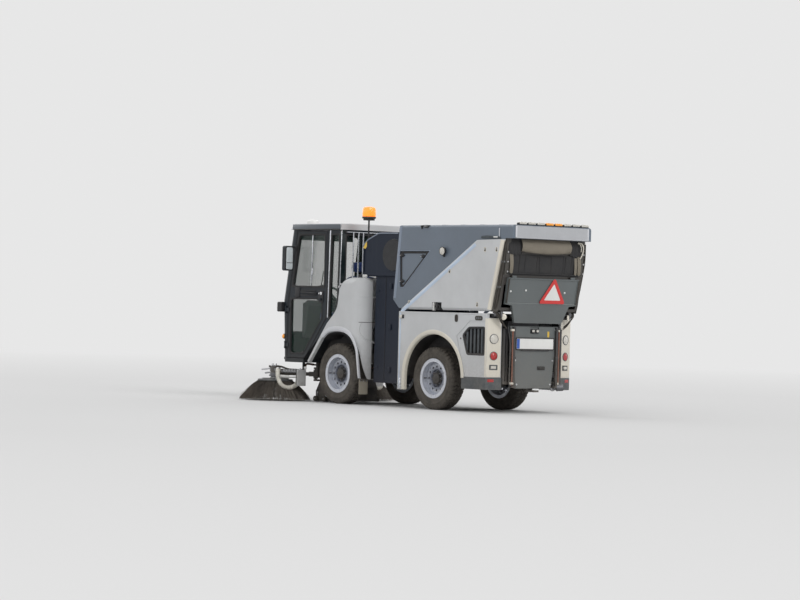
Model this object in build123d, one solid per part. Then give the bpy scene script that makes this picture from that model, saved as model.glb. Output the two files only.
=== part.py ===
from build123d import *
import math
import os

os.makedirs("parts", exist_ok=True)

# Driving dimensions in millimetres: X forward, Y to the left, Z up, ground at zero

# Running gear
wheelbase = 1590.0
tyre_radius = 330.0
tyre_width = 195.0
tyre_inset = 31.0
shoulder_radius = 30.0
rim_radius = 203.0
rim_width = 172.0
spindle_radius = 30.0
axle_radius = 60.0
running_clearance = 0.05

# Rear unit, lengths measured from the rear axle
body_half = 591.0
body_front = 550.0
body_rear = 865.0
body_bottom = 197.0
body_top = 1026.0
body_wall = 40.0
rear_arch_radius = 460.0
rear_arch_x = -29.0
rear_arch_z = 345.0
bumper_front = 476.0
bumper_bottom = 241.0
bumper_top = 367.0
lamp_inner_y = 416.0
lamp_inner_x = 905.0
lamp_top = 980.0
cover_x = 954.0
cover_wall = 24.0
cover_bottom = 257.0
cover_bottom_half = 250.0
cover_top = 905.0
cover_top_half = 336.0
plate_width = 520.0
plate_height = 110.0
plate_z = 722.0

# Hopper, lengths measured from the rear axle
hopper_front_top = 600.0
hopper_front_low = 679.0
hopper_corner_z = 1150.0
hopper_rear = 1192.0
hopper_top = 1940.0
hopper_floor = 1060.0
outlet_top = 1800.0
outlet_x = 1090.0
hopper_wall = 30.0
hinge_x = 939.0
hinge_z = 1020.0
hinge_pin_radius = 15.0
upright_gap = 21.0
upright_wall = 30.0
lug_wall = 34.0
lug_gap = 3.0
door_top_z = 1404.0
door_top_x = 1054.0
door_mid_z = 1126.0
door_mid_x = 1009.0
door_low_z = 935.0
door_low_x = 972.0
door_side_margin = 55.0
door_low_half = 330.0
door_wall = 30.0
cover_side_wall = 38.0
cover_bevel = 26.0
cover_round = 32.0
recess_depth = 12.0

# Centre pivot and housings, lengths measured from the pivot
pivot_radius = 30.0
pivot_low = 310.0
pivot_high = 530.0
ear_wall = 30.0
tongue_half = 85.0
tongue_low = 345.0
tongue_high = 495.0
skirt_half = 440.0
skirt_front = 325.0
skirt_rear = -240.0
skirt_bottom = 250.0
housing_half = 470.0
housing_front = 515.0
housing_bottom = 1395.0
housing_top = 1858.0
swing_radius = 570.0
joint_gap = 12.0
beacon_top = 2148.0
beacon_height = 130.0
beacon_radius = 68.0
beacon_inset = 50.0
beacon_setback = 32.0

# Tow eyes, from the rear axle and from the front axle
tow_z = 222.0
tow_wall = 20.0
tow_hole_radius = 15.0
tow_rear_x = 970.0
tow_front_x = 1090.0
tow_front_z = 385.0

# Cab, lengths measured from the front axle
cab_half = 545.0
cab_lean = 15.0
cab_rear = 10.0
cab_floor = 430.0
cab_rear_floor = 850.0
cab_waist = 1110.0
cab_top = 1898.0
cab_wall = 45.0
cab_corner_radius = 70.0
roof_thickness = 68.0
roof_overhang = 14.0
door_gap = 5.0
glass_wall = 6.0
glass_inset = 18.0
screen_margin = 75.0
rear_window_margin = 72.0
cab_post = 30.0
mirror_reach = 62.0
mirror_low = 1440.0
mirror_high = 1715.0
mirror_width = 115.0
fit_gap = 0.3

# Fenders, lengths measured from the front axle
fender_top = 1377.0
fender_rear = -410.0
fender_corner = 170.0
fender_round = 60.0
fender_dome = 75.0
fender_inner = 200.0
tank_bottom = 830.0

# Suction mouth under the cab
mouth_top = 250.0

# Brooms, lengths measured from the front axle
brush_x = 1010.0
brush_y = 620.0
brush_radius = 400.0
brush_disc_radius = 190.0
brush_ground_gap = 6.0
brush_disc_low = 215.0
brush_disc_high = 245.0
arm_pivot_x = 690.0
arm_pivot_y = 300.0
arm_pin_radius = 14.0
bracket_low = 250.0
bracket_high = 350.0

# Stations along X from the driving dimensions, with the origin under the middle of the machine
pivot_x = (hopper_rear - brush_x - brush_radius) / 2
front_axle_x = pivot_x + wheelbase / 2
rear_axle_x = pivot_x - wheelbase / 2
wheel_y = body_half - tyre_inset - tyre_width / 2
fender_half = body_half - 1
cab_half_top = cab_half - cab_lean
body_inner = body_half - body_wall
hopper_half = body_half - cover_side_wall - 1
door_half = hopper_half - door_side_margin


def save(name, *shapes):
    """Write one named piece, made of one or more solids."""
    solids = [solid for shape in shapes for solid in shape.solids()]
    export_step(solids[0] if len(solids) == 1 else Compound(solids), f"parts/{name}.step")


def box(x0, x1, y0, y1, z0, z1):
    """Box between two corners."""
    centre = ((x0 + x1) / 2, (y0 + y1) / 2, (z0 + z1) / 2)
    return Pos(*centre) * Box(abs(x1 - x0), abs(y1 - y0), abs(z1 - z0))


def side_face(points, y):
    """Face in a plane of constant Y from (x, z) points."""
    return make_face(Polyline(*[(x, y, z) for x, z in points], close=True))


def side_prism(points, y0, y1):
    """Side outline of (x, z) points, carried from y0 to y1."""
    return extrude(side_face(points, y0), amount=y1 - y0, dir=(0, 1, 0))


def plan_prism(points, z0, z1):
    """Plan outline of (x, y) points, carried from z0 to z1."""
    outline = Polyline(*[(x, y, z0) for x, y in points], close=True)
    return extrude(make_face(outline), amount=z1 - z0, dir=(0, 0, 1))


def rear_prism(points, x0, x1):
    """Outline of (y, z) points seen from behind, carried from x0 to x1."""
    outline = Polyline(*[(x0, y, z) for y, z in points], close=True)
    return extrude(make_face(outline), amount=x1 - x0, dir=(1, 0, 0))


def bar(start, end, radius):
    """Round bar between two points."""
    start, end = Vector(*start), Vector(*end)
    length = (end - start).length
    return Plane(origin=start, z_dir=end - start) * Cylinder(
        radius, length, align=(Align.CENTER, Align.CENTER, Align.MIN))


def across(x, z, y0, y1, radius):
    """Round bar along Y."""
    return bar((x, y0, z), (x, y1, z), radius)


def upright(x, y, z0, z1, radius):
    """Round bar along Z."""
    return bar((x, y, z0), (x, y, z1), radius)


def other_side(shape):
    """The same shape on the right-hand side."""
    return mirror(shape, about=Plane.XZ)


def both(shape):
    """A left-hand shape joined with its right-hand twin."""
    return [shape, other_side(shape)]


def shifted(points, x):
    """Move (x, z) or (x, y) points along X."""
    return [(x + a, b) for a, b in points]


# Wheels
def rim_solid(x, side):
    """Pressed rim with a dished disc, hand holes and a hub bore."""
    half = rim_width / 2
    bed = rim_radius - 22
    flange = [(bed - 6, -half), (rim_radius + 5, -half), (rim_radius + 5, -half + 7), (bed + 5, -half + 16)]
    flange += [(bed + 5, half - 16), (rim_radius + 5, half - 7), (rim_radius + 5, half), (bed - 6, half)]
    flange += [(bed - 6, 24), (150, 36), (96, 36), (84, 22), (spindle_radius + running_clearance, 22)]
    flange += [(spindle_radius + running_clearance, 8), (90, 8), (100, 22), (146, 22), (bed - 6, 8)]
    profile = make_face(Polyline(*[(r, 0, y) for r, y in flange], close=True))
    body = revolve(profile, Axis.Z)
    for number in range(12):
        hole = Rot(0, 0, 30 * number) * Pos(124, 0, 29) * Cylinder(12, 60)
        body -= hole
    turned = Rot(-90 * side, 0, 0) * body
    return Pos(x, side * wheel_y, tyre_radius) * turned


def tyre_solid(x, side):
    """Tyre with rounded shoulders and a bead seated on the rim."""
    half = tyre_width / 2
    bead = rim_radius - 17
    seat = rim_width / 2 - 7
    tread = half - 6 - shoulder_radius
    middle = shoulder_radius * math.sqrt(0.5)
    flat = tyre_radius - shoulder_radius
    points = [(bead, -seat + 9), (rim_radius + 5, -seat), (258, -half), (flat, -half + 6)]
    edges = [Polyline(*[(r, 0, y) for r, y in points])]
    edges += [ThreePointArc((flat, 0, -half + 6), (flat + middle, 0, -tread - middle), (tyre_radius, 0, -tread))]
    edges += [Line((tyre_radius, 0, -tread), (tyre_radius, 0, tread))]
    edges += [ThreePointArc((tyre_radius, 0, tread), (flat + middle, 0, tread + middle), (flat, 0, half - 6))]
    edges += [Polyline(*[(r, 0, -y) for r, y in reversed(points)]), Line((bead, 0, seat - 9), (bead, 0, -seat + 9))]
    body = revolve(make_face(edges), Axis.Z)
    return Pos(x, side * wheel_y, tyre_radius) * (Rot(-90 * side, 0, 0) * body)


wheel_rows = [
    # name, axle x, side
    ("front_left", front_axle_x, 1),
    ("front_right", front_axle_x, -1),
    ("rear_left", rear_axle_x, 1),
    ("rear_right", rear_axle_x, -1),
]
for name, x, side in wheel_rows:
    save(f"{name}_rim", rim_solid(x, side))
    save(f"{name}_tyre", tyre_solid(x, side))


def axle(x):
    """Axle beam with a drive motor flange and a spindle at each end."""
    flange_y = wheel_y - 14
    spindle_end = wheel_y + 44
    body = across(x, tyre_radius, -flange_y, flange_y, axle_radius)
    body += across(x, tyre_radius, -flange_y, -flange_y + 22, 86) + across(x, tyre_radius, flange_y - 22, flange_y, 86)
    body += across(x, tyre_radius, -spindle_end, spindle_end, spindle_radius)
    for side in (1, -1):
        body += across(x, tyre_radius, side * (wheel_y + 30), side * spindle_end, 52)
    return body


save("front_axle", axle(front_axle_x))
save("rear_axle", axle(rear_axle_x))

# Rear frame: a pair of rails, and between and around them the pivot ears, hinge uprights and rear posts
rail_inner = 160.0
rail_outer = 215.0
rail_low = 400.0
rail_high = 490.0
bulkhead_rear = -105.0
post_x = rear_axle_x - cover_x + cover_wall
hinge_axis_x = rear_axle_x - hinge_x
upright_outer = body_inner - upright_gap
lug_outer = upright_outer - upright_wall - lug_gap
lug_inner = lug_outer - lug_wall
upright_inner = lug_inner - lug_gap - upright_wall
upright_rows = [
    # inner face, outer face
    (upright_inner, upright_inner + upright_wall),
    (upright_outer - upright_wall, upright_outer),
]

bulkhead_x = pivot_x + bulkhead_rear - 60
rails = both(box(rear_axle_x - 850, bulkhead_x, rail_inner, rail_outer, rail_low, rail_high))
save("rear_rails", *rails)
frame_shape = box(bulkhead_x, pivot_x + bulkhead_rear, -330, 330, pivot_low, pivot_high)
for low in (pivot_low, pivot_high - ear_wall):
    ear = box(pivot_x + bulkhead_rear - 10, pivot_x, -95, 95, low, low + ear_wall)
    ear += upright(pivot_x, 0, low, low + ear_wall, 95)
    frame_shape += ear
frame_shape += upright(pivot_x, 0, pivot_low - 15, pivot_high + 15, pivot_radius)
for side in (1, -1):
    saddle = box(rear_axle_x - 70, rear_axle_x + 70, side * rail_inner, side * rail_outer, tyre_radius, rail_low)
    frame_shape += saddle
frame_shape -= across(rear_axle_x, tyre_radius, -400, 400, axle_radius)
for y0, y1 in upright_rows:
    plate = side_prism(
        [(hinge_axis_x + 190, 430), (hinge_axis_x + 190, hinge_z + 4), (hinge_axis_x, hinge_z + 4),
         (hinge_axis_x - 22, hinge_z - 4), (hinge_axis_x - 22, hinge_z - 22), (hinge_axis_x + 90, hinge_z - 34),
         (hinge_axis_x + 100, 430)], y0, y1)
    frame_shape += plate + other_side(plate)
for side in (1, -1):
    frame_shape += across(hinge_axis_x, hinge_z, side * (upright_inner - 5), side * (upright_outer + 5), hinge_pin_radius)
    frame_shape += across(hinge_axis_x, hinge_z, side * (upright_outer - 1), side * (upright_outer + 12), 26)
frame_shape += box(hinge_axis_x + 100, hinge_axis_x + 190, -body_inner, body_inner, 430, 480)
cross_low = box(post_x, post_x + 26, -410, 410, 300, 330)
cross_low += box(post_x + 26, rear_axle_x - 850, rail_inner, rail_outer, 300, 340)
cross_low += box(post_x + 26, rear_axle_x - 850, -rail_outer, -rail_inner, 300, 340)
cross_low += box(rear_axle_x - 850, rear_axle_x - 800, -rail_outer, rail_outer, 300, rail_high)
frame_shape += cross_low
tow_eye = box(rear_axle_x - 1000, rear_axle_x - 860, -35, 35, tow_z, tow_z + tow_wall)
tow_eye += box(rear_axle_x - 905, rear_axle_x - 880, -35, 35, tow_z + tow_wall, 310)
tow_eye -= upright(rear_axle_x - tow_rear_x, 0, 0, 500, tow_hole_radius)
frame_shape += tow_eye
for y0 in (345.0, 384.0):
    post = box(post_x, post_x + 26, y0, y0 + 26, 300, cover_top - 30)
    frame_shape += post + other_side(post)
lift_base_x = rear_axle_x - 320
lift_base_z = 420.0
lift_y = 300.0
lift_pin_radius = 12.0
for side in (1, -1):
    frame_shape += box(lift_base_x - 30, lift_base_x + 30, side * rail_outer, side * (lift_y - 32), 385, 455)
    frame_shape += across(lift_base_x, lift_base_z, side * (lift_y - 40), side * (lift_y + 30), lift_pin_radius)
save("rear_frame", frame_shape - rails)

# Lower body panels with wheel arches, and the liners behind them
side_x0 = rear_axle_x - body_rear
side_x1 = rear_axle_x + body_front
arch_x = rear_axle_x + rear_arch_x
panel = box(side_x0, side_x1, body_inner, body_half, body_bottom, body_top)
panel -= across(arch_x, rear_arch_z, 400, 700, rear_arch_radius)
panel -= box(arch_x - rear_arch_radius, arch_x + rear_arch_radius, 400, 700, 0, rear_arch_z)
panel -= box(side_x0 - 1, arch_x - rear_arch_radius + 1, 400, 700, 0, bumper_top)
grille_outline = shifted([(-503, 796), (-594, 875), (-833, 880), (-837, 600), (-573, 600)], rear_axle_x)
panel -= side_prism(grille_outline, 400, 700)
groove_path = shifted([(-body_rear - 10, 943), (-608, 943), (-410, 783), (-544, bumper_top)], rear_axle_x)
groove_width = 12.0
groove_depth = 5.0
for (xa, za), (xb, zb) in zip(groove_path, groove_path[1:]):
    length = math.hypot(xb - xa, zb - za)
    dx = groove_width / 2 * (zb - za) / length
    dz = groove_width / 2 * (xb - xa) / length
    quad = [(xa + dx, za - dz), (xb + dx, zb - dz), (xb - dx, zb + dz), (xa - dx, za + dz)]
    panel -= side_prism(quad, body_half - groove_depth, body_half + 1)
    panel -= across(xb, zb, body_half - groove_depth, body_half + 1, groove_width / 2)
front_edge = panel.edges().filter_by(Axis.Z).sort_by(Axis.X)[-2:].sort_by(Axis.Y)[-1:]
panel = fillet(front_edge, 30)
lamp_panel = plan_prism(
    [(side_x0, body_half), (rear_axle_x - lamp_inner_x, lamp_inner_y),
     (rear_axle_x - lamp_inner_x + 30, lamp_inner_y), (side_x0, body_inner)], bumper_top, lamp_top)
front_wall = box(side_x1 - 30, side_x1, -body_inner, body_inner, rail_high, body_top)
save("lower_panels", *both(panel), *both(lamp_panel), front_wall)

liner_wall = 6.0
liner_radius = rear_arch_radius + liner_wall
liner_gap = 20.0
liner_inner_y = wheel_y - tyre_width / 2 - liner_gap
liner = across(arch_x, rear_arch_z, liner_inner_y, body_inner, liner_radius)
liner -= across(arch_x, rear_arch_z, liner_inner_y + liner_wall, 700, liner_radius - liner_wall)
liner -= box(arch_x - 600, arch_x + 600, 300, 700, -300, rear_arch_z)
liner -= across(rear_axle_x, tyre_radius, 300, 700, 110)
liner -= box(rear_axle_x + 60, rear_axle_x + 230, 300, 352, 340, 480)
save("arch_liners", *both(liner))

# Side grilles: a frame of upright louvres in each side panel
grille_rows = [-560.0, -617.0, -674.0, -731.0, -788.0]
grille_face = side_face(grille_outline, body_half - 34)
grille_plate = extrude(offset(grille_face, amount=-fit_gap), amount=6, dir=(0, 1, 0))
louvres = grille_plate
for x in grille_rows:
    louvre = box(rear_axle_x + x - 14, rear_axle_x + x + 14, body_half - 30, body_half - 12, 606, 866)
    inside = extrude(offset(grille_face, amount=-6), amount=40, dir=(0, 1, 0))
    louvres += louvre & inside

# Bumper corners wrap from the sides to the rear
bumper = plan_prism(
    [(rear_axle_x - bumper_front - 16, body_half), (side_x0 - 4, body_half), (rear_axle_x - lamp_inner_x - 14, lamp_inner_y),
     (rear_axle_x - lamp_inner_x + 22, lamp_inner_y), (side_x0 + 20, body_inner),
     (rear_axle_x - bumper_front - 16, body_inner)], bumper_bottom, bumper_top)
save("rear_bumpers", *both(bumper))

# Centre rear panel with its bevelled sides, and the blank plate
cover_outline = [(cover_bottom_half, cover_bottom), (cover_top_half, cover_top)]
cover_points = cover_outline + [(-y, z) for y, z in reversed(cover_outline)]
cover_shape = rear_prism(cover_points, rear_axle_x - cover_x, rear_axle_x - cover_x + cover_wall)
lamp_recess = box(rear_axle_x - cover_x - 1, rear_axle_x - cover_x + 12, -60, 60, 830, 895)
cover_shape -= lamp_recess
cover_shape = chamfer(cover_shape.faces().sort_by(Axis.X)[0].outer_wire().edges(), 6)
save("rear_cover", cover_shape)
plate_back = rear_axle_x - cover_x
save("number_plate", box(plate_back - 12, plate_back, -plate_width / 2, plate_width / 2,
                         plate_z - plate_height / 2, plate_z + plate_height / 2))

# Rear lamps: rows of discs and blocks on the slanted lamp panels
lamp_rows = [
    # height, radius, depth
    (765.0, 46.0, 14.0),
    (590.0, 46.0, 14.0),
]
slant = math.degrees(math.atan2(lamp_inner_x - body_rear, body_half - lamp_inner_y))
lamp_mid = ((side_x0 + rear_axle_x - lamp_inner_x) / 2, (body_half + lamp_inner_y) / 2)
lamps = []
for height, radius, depth in lamp_rows:
    lens = Pos(*lamp_mid, height) * Rot(0, 0, -slant) * Pos(-depth / 2, 0, 0) * Rot(0, 90, 0) * Cylinder(radius, depth)
    lamps.append(lens)
lamps.append(Pos(*lamp_mid, 472) * Rot(0, 0, -slant) * Pos(-6, 0, 0) * Box(12, 84, 52))
save("rear_lamps", *[solid for lamp in lamps for solid in both(lamp)])

# Engine between the rails, as one plain block
save("engine_block", box(rear_axle_x - 780, rear_axle_x - 260, -215, 215, rail_high, 950))

# Exhaust pipe under the right-hand rear corner
exhaust = bar((rear_axle_x - 700, -330, 266), (rear_axle_x - 958, -330, 266), 26)
exhaust -= bar((rear_axle_x - 760, -330, 266), (rear_axle_x - 970, -330, 266), 22)
exhaust += box(rear_axle_x - 720, rear_axle_x - 690, -350, -rail_outer, 252, 280)
exhaust += box(rear_axle_x - 720, rear_axle_x - 690, -rail_outer, -rail_inner, 252, rail_low)
save("exhaust_pipe", exhaust)

# Housings over the centre pivot
housing_rear_x = rear_axle_x + hopper_front_low + joint_gap
skirt_outline = [(pivot_x + skirt_rear, skirt_bottom), (pivot_x + skirt_front, skirt_bottom),
                 (pivot_x + skirt_front, housing_bottom), (housing_rear_x, housing_bottom),
                 (housing_rear_x, hopper_corner_z - joint_gap), (pivot_x + skirt_rear, hopper_floor - 25)]
skirt = side_prism(skirt_outline, skirt_half - 40, skirt_half)
skirt = fillet(skirt.edges().filter_by(Axis.Z).sort_by(Axis.X)[-2:].sort_by(Axis.Y)[-1:], 18)
lower_shape = skirt + other_side(skirt)
lower_shape += box(pivot_x + bulkhead_rear, pivot_x + bulkhead_rear + 30, -400, 400, pivot_high, housing_bottom)
lower_shape += box(housing_rear_x, pivot_x + skirt_front, -400, 400, housing_bottom - 40, housing_bottom)
save("lower_housing", lower_shape)

housing_points = [
    (housing_rear_x, housing_bottom), (pivot_x + housing_front, housing_bottom), (pivot_x + housing_front, 1721),
    (pivot_x + 435, 1785), (pivot_x + 298, 1839), (pivot_x + 230, housing_top), (housing_rear_x, housing_top)]
upper_shape = side_prism(housing_points, -housing_half, housing_half)
upper_shape = fillet(upper_shape.faces().sort_by(Axis.Y)[-1].edges(), 12)
upper_shape = fillet(upper_shape.faces().sort_by(Axis.Y)[0].edges(), 12)
recess = box(pivot_x + 380, pivot_x + 490, housing_half - 8, housing_half + 5, 1440, 1690)
upper_shape -= recess
upper_shape -= other_side(recess)
save("upper_housing", upper_shape)

inlet_x = pivot_x - 10
inlet_z = 1625.0
inlet = across(inlet_x, inlet_z, housing_half, housing_half + 16, 168)
inlet &= box(housing_rear_x, pivot_x + 400, 0, 700, 1300, 2000)
save("air_grilles", *both(louvres), *both(inlet))

beacon_x = pivot_x + housing_front - beacon_setback
beacon_y = housing_half - beacon_inset
beacon_low = beacon_top - beacon_height
beacon_pole = upright(beacon_x, beacon_y, housing_top - 78, beacon_low - 3, 9)
beacon_pole += upright(beacon_x, beacon_y, beacon_low - 18, beacon_low, beacon_radius - 6)
beacon_pole -= side_prism(housing_points, -housing_half, housing_half)
save("beacon_pole", beacon_pole.solids().sort_by(SortBy.VOLUME)[-1])
beacon = upright(beacon_x, beacon_y, beacon_low, beacon_top, beacon_radius)
beacon = fillet(beacon.edges().sort_by(Axis.Z)[-1:], 30)
save("beacon", beacon)

# Hopper body, open at the discharge door
hopper_x = rear_axle_x
hopper_outline = shifted(
    [(hopper_front_low - 98, hopper_floor), (hopper_front_low, hopper_corner_z), (hopper_front_top, hopper_top),
     (-hopper_rear + 6, hopper_top), (-hopper_rear + 6, outlet_top), (-outlet_x, outlet_top), (-door_top_x, door_top_z),
     (-door_mid_x, door_mid_z), (-985, hopper_floor)], hopper_x)
hopper = side_prism(hopper_outline, -hopper_half, hopper_half)
long_edges = hopper.edges().filter_by(Axis.X).group_by(Axis.Z)[-1]
hopper = fillet(long_edges, 28)
inner_outline = shifted(
    [(hopper_front_low - 110, hopper_floor + hopper_wall), (hopper_front_low - hopper_wall, 1165),
     (hopper_front_top - hopper_wall, hopper_top - hopper_wall), (-1060, hopper_top - hopper_wall),
     (-door_top_x + 20, door_top_z), (-door_mid_x - 50, door_mid_z), (-1040, hopper_floor + hopper_wall)], hopper_x)
hopper -= side_prism(inner_outline, -(hopper_half - hopper_wall), hopper_half - hopper_wall)
mouth_half = door_half - 17
mouth_low = hopper_floor + hopper_wall
hopper -= rear_prism([(-mouth_half, mouth_low), (mouth_half, mouth_low), (mouth_half, 1385), (-mouth_half, 1385)],
                     hopper_x - 1200, hopper_x - 900)
lug = box(hinge_axis_x - 30, hinge_axis_x + 40, lug_inner, lug_outer, hinge_z, hopper_floor)
lug += across(hinge_axis_x, hinge_z, lug_inner, lug_outer, 30)
lug -= across(hinge_axis_x, hinge_z, lug_inner - 1, lug_outer + 1, hinge_pin_radius + running_clearance)
hopper += lug + other_side(lug)
recess_side = shifted([(591, 1665), (103, 1666), (518, 1282), (576, 1282)], hopper_x)
for side in (1, -1):
    hopper -= side_prism(recess_side, side * (hopper_half - recess_depth), side * (hopper_half + 1))
door_hinge_x = hopper_x - door_top_x - 16
door_hinge_z = door_top_z + 8
door_pin_radius = 5.0
door_knuckle_radius = 9.0
door_hinge_rows = [
    # inner end, outer end
    (372.0, 382.0),
    (440.0, 450.0),
]
for y0, y1 in door_hinge_rows:
    holder = across(door_hinge_x, door_hinge_z, y0, y1, door_knuckle_radius)
    holder += box(door_hinge_x, hopper_x - door_top_x + 6, y0, y1, door_hinge_z - 7, door_hinge_z + door_knuckle_radius)
    hopper += holder + other_side(holder)
door_pin = across(door_hinge_x, door_hinge_z, door_hinge_rows[0][0], door_hinge_rows[1][1], door_pin_radius)
hopper += door_pin + other_side(door_pin)
for y0 in (lift_y - 34, lift_y + 22):
    ear = box(hinge_axis_x + 570, hinge_axis_x + 630, y0, y0 + 12, 996, hopper_floor)
    hopper += ear + other_side(ear)
save("hopper_shell", hopper)

# Light side covers bolted to the hopper
cover_side = shifted([(535, 1048), (-652, 1780), (-1085, 1790), (-896, 1051)], hopper_x)
side_cover = side_prism(cover_side, hopper_half, hopper_half + cover_side_wall)
outer_edges = side_cover.faces().sort_by(Axis.Y)[-1].edges()
side_cover = fillet(outer_edges.sort_by(Axis.X)[0], cover_round)
slope_edge = [edge for edge in side_cover.faces().sort_by(Axis.Y)[-1].edges() if edge.length > 1250]
side_cover = chamfer(slope_edge, cover_bevel)
latch_notch = box(hopper_x - 150, hopper_x + 2, hopper_half - 1, hopper_half + cover_side_wall + 1, 1040, 1130)
side_cover -= latch_notch
work_lamp_x = hopper_x - 132
work_lamp_z = 1665.0
save("side_covers", *both(side_cover))
work_lamp = across(work_lamp_x, work_lamp_z, hopper_half, hopper_half + 46, 42)
work_lamp = fillet(work_lamp.edges().sort_by(Axis.Y)[-1:], 14)

# Rear hood, flap, screen and lamp bar ride on the hopper
hood_half = hopper_half - 37
hood = side_prism(shifted([(-hopper_rear + 6, hopper_top - 136), (-hopper_rear + 6, hopper_top - 8),
                           (-hopper_rear - 0, hopper_top - 8), (-hopper_rear - 0, hopper_top - 136)], hopper_x),
                  -hood_half, hood_half)
save("rear_hood", hood)


def outlet_line(z):
    """Distance of the hopper's rear face behind the rear axle at a height."""
    return outlet_x + (door_top_x - outlet_x) * (outlet_top - z) / (outlet_top - door_top_z)


def outlet_panel(z0, z1, depth):
    """Outline of a panel that lies on the hopper's rear face."""
    low, high = outlet_line(z0), outlet_line(z1)
    return shifted([(-low, z0), (-high, z1), (-high - depth, z1), (-low - depth, z0)], hopper_x)


flap_top_half = hopper_half - 72
flap_low_half = flap_top_half - 50
flap_low = outlet_top - 145
flap_outline = [(-flap_top_half, outlet_top), (flap_top_half, outlet_top), (flap_low_half, flap_low), (-flap_low_half, flap_low)]
flap = side_prism(shifted([(-outlet_x - 18, outlet_top), (-outlet_x - 34, outlet_top), (-outlet_x - 50, flap_low),
                           (-outlet_x - 34, flap_low)], hopper_x), -flap_top_half, flap_top_half)
save("outlet_flap", flap & rear_prism(flap_outline, hopper_x - hopper_rear, hopper_x - outlet_x))
grid_low = door_hinge_z + door_knuckle_radius + 6
grid_half = door_half - 7
save("outlet_screen", side_prism(outlet_panel(grid_low, outlet_top - 160, 10), -grid_half, grid_half))
save("outlet_frame", *both(side_prism(outlet_panel(grid_low, outlet_top, 14), grid_half + 2, hopper_half - 6)))
lamp_bar = box(hopper_x - hopper_rear + 20, hopper_x - hopper_rear + 60, -hood_half + 15, hood_half - 15,
               hopper_top, hopper_top + 34)
save("hopper_lamps", lamp_bar, *both(work_lamp))

# Discharge door, hinged along its top edge
door_side = shifted(
    [(-door_top_x - fit_gap, door_top_z - 4), (-door_mid_x - fit_gap, door_mid_z), (-door_low_x, door_low_z),
     (-door_low_x - door_wall, door_low_z), (-door_mid_x - door_wall, door_mid_z),
     (-door_top_x - door_wall, door_top_z - 4)], hopper_x)
door_face = [(door_half, door_top_z - 4), (door_half, door_mid_z), (door_half - 97, door_mid_z - 12),
             (door_low_half, door_low_z)]
door_points = door_face + [(-y, z) for y, z in reversed(door_face)]
door_shape = side_prism(door_side, -600, 600) & rear_prism(door_points, hopper_x - 1200, hopper_x - 900)
knuckle_y0 = door_hinge_rows[0][1] + 2
knuckle_y1 = door_hinge_rows[1][0] - 2
door_knuckle = across(door_hinge_x, door_hinge_z, knuckle_y0, knuckle_y1, door_knuckle_radius)
door_knuckle += box(door_hinge_x - 8, door_hinge_x + 8, knuckle_y0, knuckle_y1, door_top_z - 8, door_hinge_z)
door_knuckle -= across(door_hinge_x, door_hinge_z, 300, 500, door_pin_radius + running_clearance)
door_shape += door_knuckle + other_side(door_knuckle)
save("rear_door", door_shape)
sign_x = hopper_x - door_top_x - door_wall
sign = rear_prism([(-10, 1146), (-340, 1146), (-175, 1390)], sign_x - 40, sign_x + 80)
sign &= side_prism(shifted([(-door_top_x - door_wall, door_top_z - 4), (-door_mid_x - door_wall, door_mid_z),
                            (-door_mid_x - door_wall - 5, door_mid_z),
                            (-door_top_x - door_wall - 5, door_top_z - 4)], hopper_x), -600, 600)
save("warning_triangle", sign)

# Lift cylinders under the hopper: a pair of barrels and a pair of rods
lift_eye_x = hinge_axis_x + 600
lift_eye_z = 1025.0
lift_angle = math.atan2(lift_eye_z - lift_base_z, lift_eye_x - lift_base_x)
lift_length = math.hypot(lift_eye_x - lift_base_x, lift_eye_z - lift_base_z)


def along_lift(distance, y):
    """Point on the lift cylinder's line at a distance from its base pin."""
    return (lift_base_x + distance * math.cos(lift_angle), y, lift_base_z + distance * math.sin(lift_angle))


barrel_radius = 32.0
rod_radius = 17.0
barrel_length = 572.0
barrels = []
rods = []
for side in (1, -1):
    y = side * lift_y
    barrel = bar(along_lift(20, y), along_lift(barrel_length, y), barrel_radius)
    barrel += across(lift_base_x, lift_base_z, y - 20, y + 20, 30)
    barrel -= bar(along_lift(60, y), along_lift(barrel_length + 5, y), rod_radius + running_clearance)
    barrel -= across(lift_base_x, lift_base_z, y - 60, y + 60, lift_pin_radius + running_clearance)
    rod = bar(along_lift(65, y), along_lift(lift_length - 20, y), rod_radius)
    rod += across(lift_eye_x, lift_eye_z, y - 16, y + 16, 26)
    rod -= across(lift_eye_x, lift_eye_z, y - 60, y + 60, 18)
    barrels.append(barrel)
    rods.append(rod)
save("lift_barrels", *barrels)
save("lift_rods", *rods)

# Front frame: a pair of rails, and with them the tongue to the pivot, axle saddles, posts and the broom beam
tongue = plan_prism([(pivot_x, -70), (pivot_x, 70), (pivot_x + 330, tongue_half), (front_axle_x - 220, tongue_half),
                     (front_axle_x - 220, -tongue_half), (pivot_x + 330, -tongue_half)], tongue_low, tongue_high)
tongue += upright(pivot_x, 0, tongue_low, tongue_high, 70)
tongue -= upright(pivot_x, 0, 200, 700, pivot_radius + running_clearance)
beam_x = front_axle_x + arm_pivot_x
front_rails = both(box(front_axle_x - 240, beam_x - 60, rail_inner, rail_outer, rail_low, cab_floor))
save("front_rails", *front_rails)
front_shape = tongue
front_shape += box(front_axle_x - 240, front_axle_x - 180, -215, 215, rail_low, rail_high)
for side in (1, -1):
    front_shape += box(front_axle_x - 70, front_axle_x + 70, side * 160, side * 215, tyre_radius, rail_low)
front_shape -= across(front_axle_x, tyre_radius, -400, 400, axle_radius)
front_shape += box(beam_x - 60, beam_x - 30, -arm_pivot_y - 25, arm_pivot_y + 25, 262, cab_floor)
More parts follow.
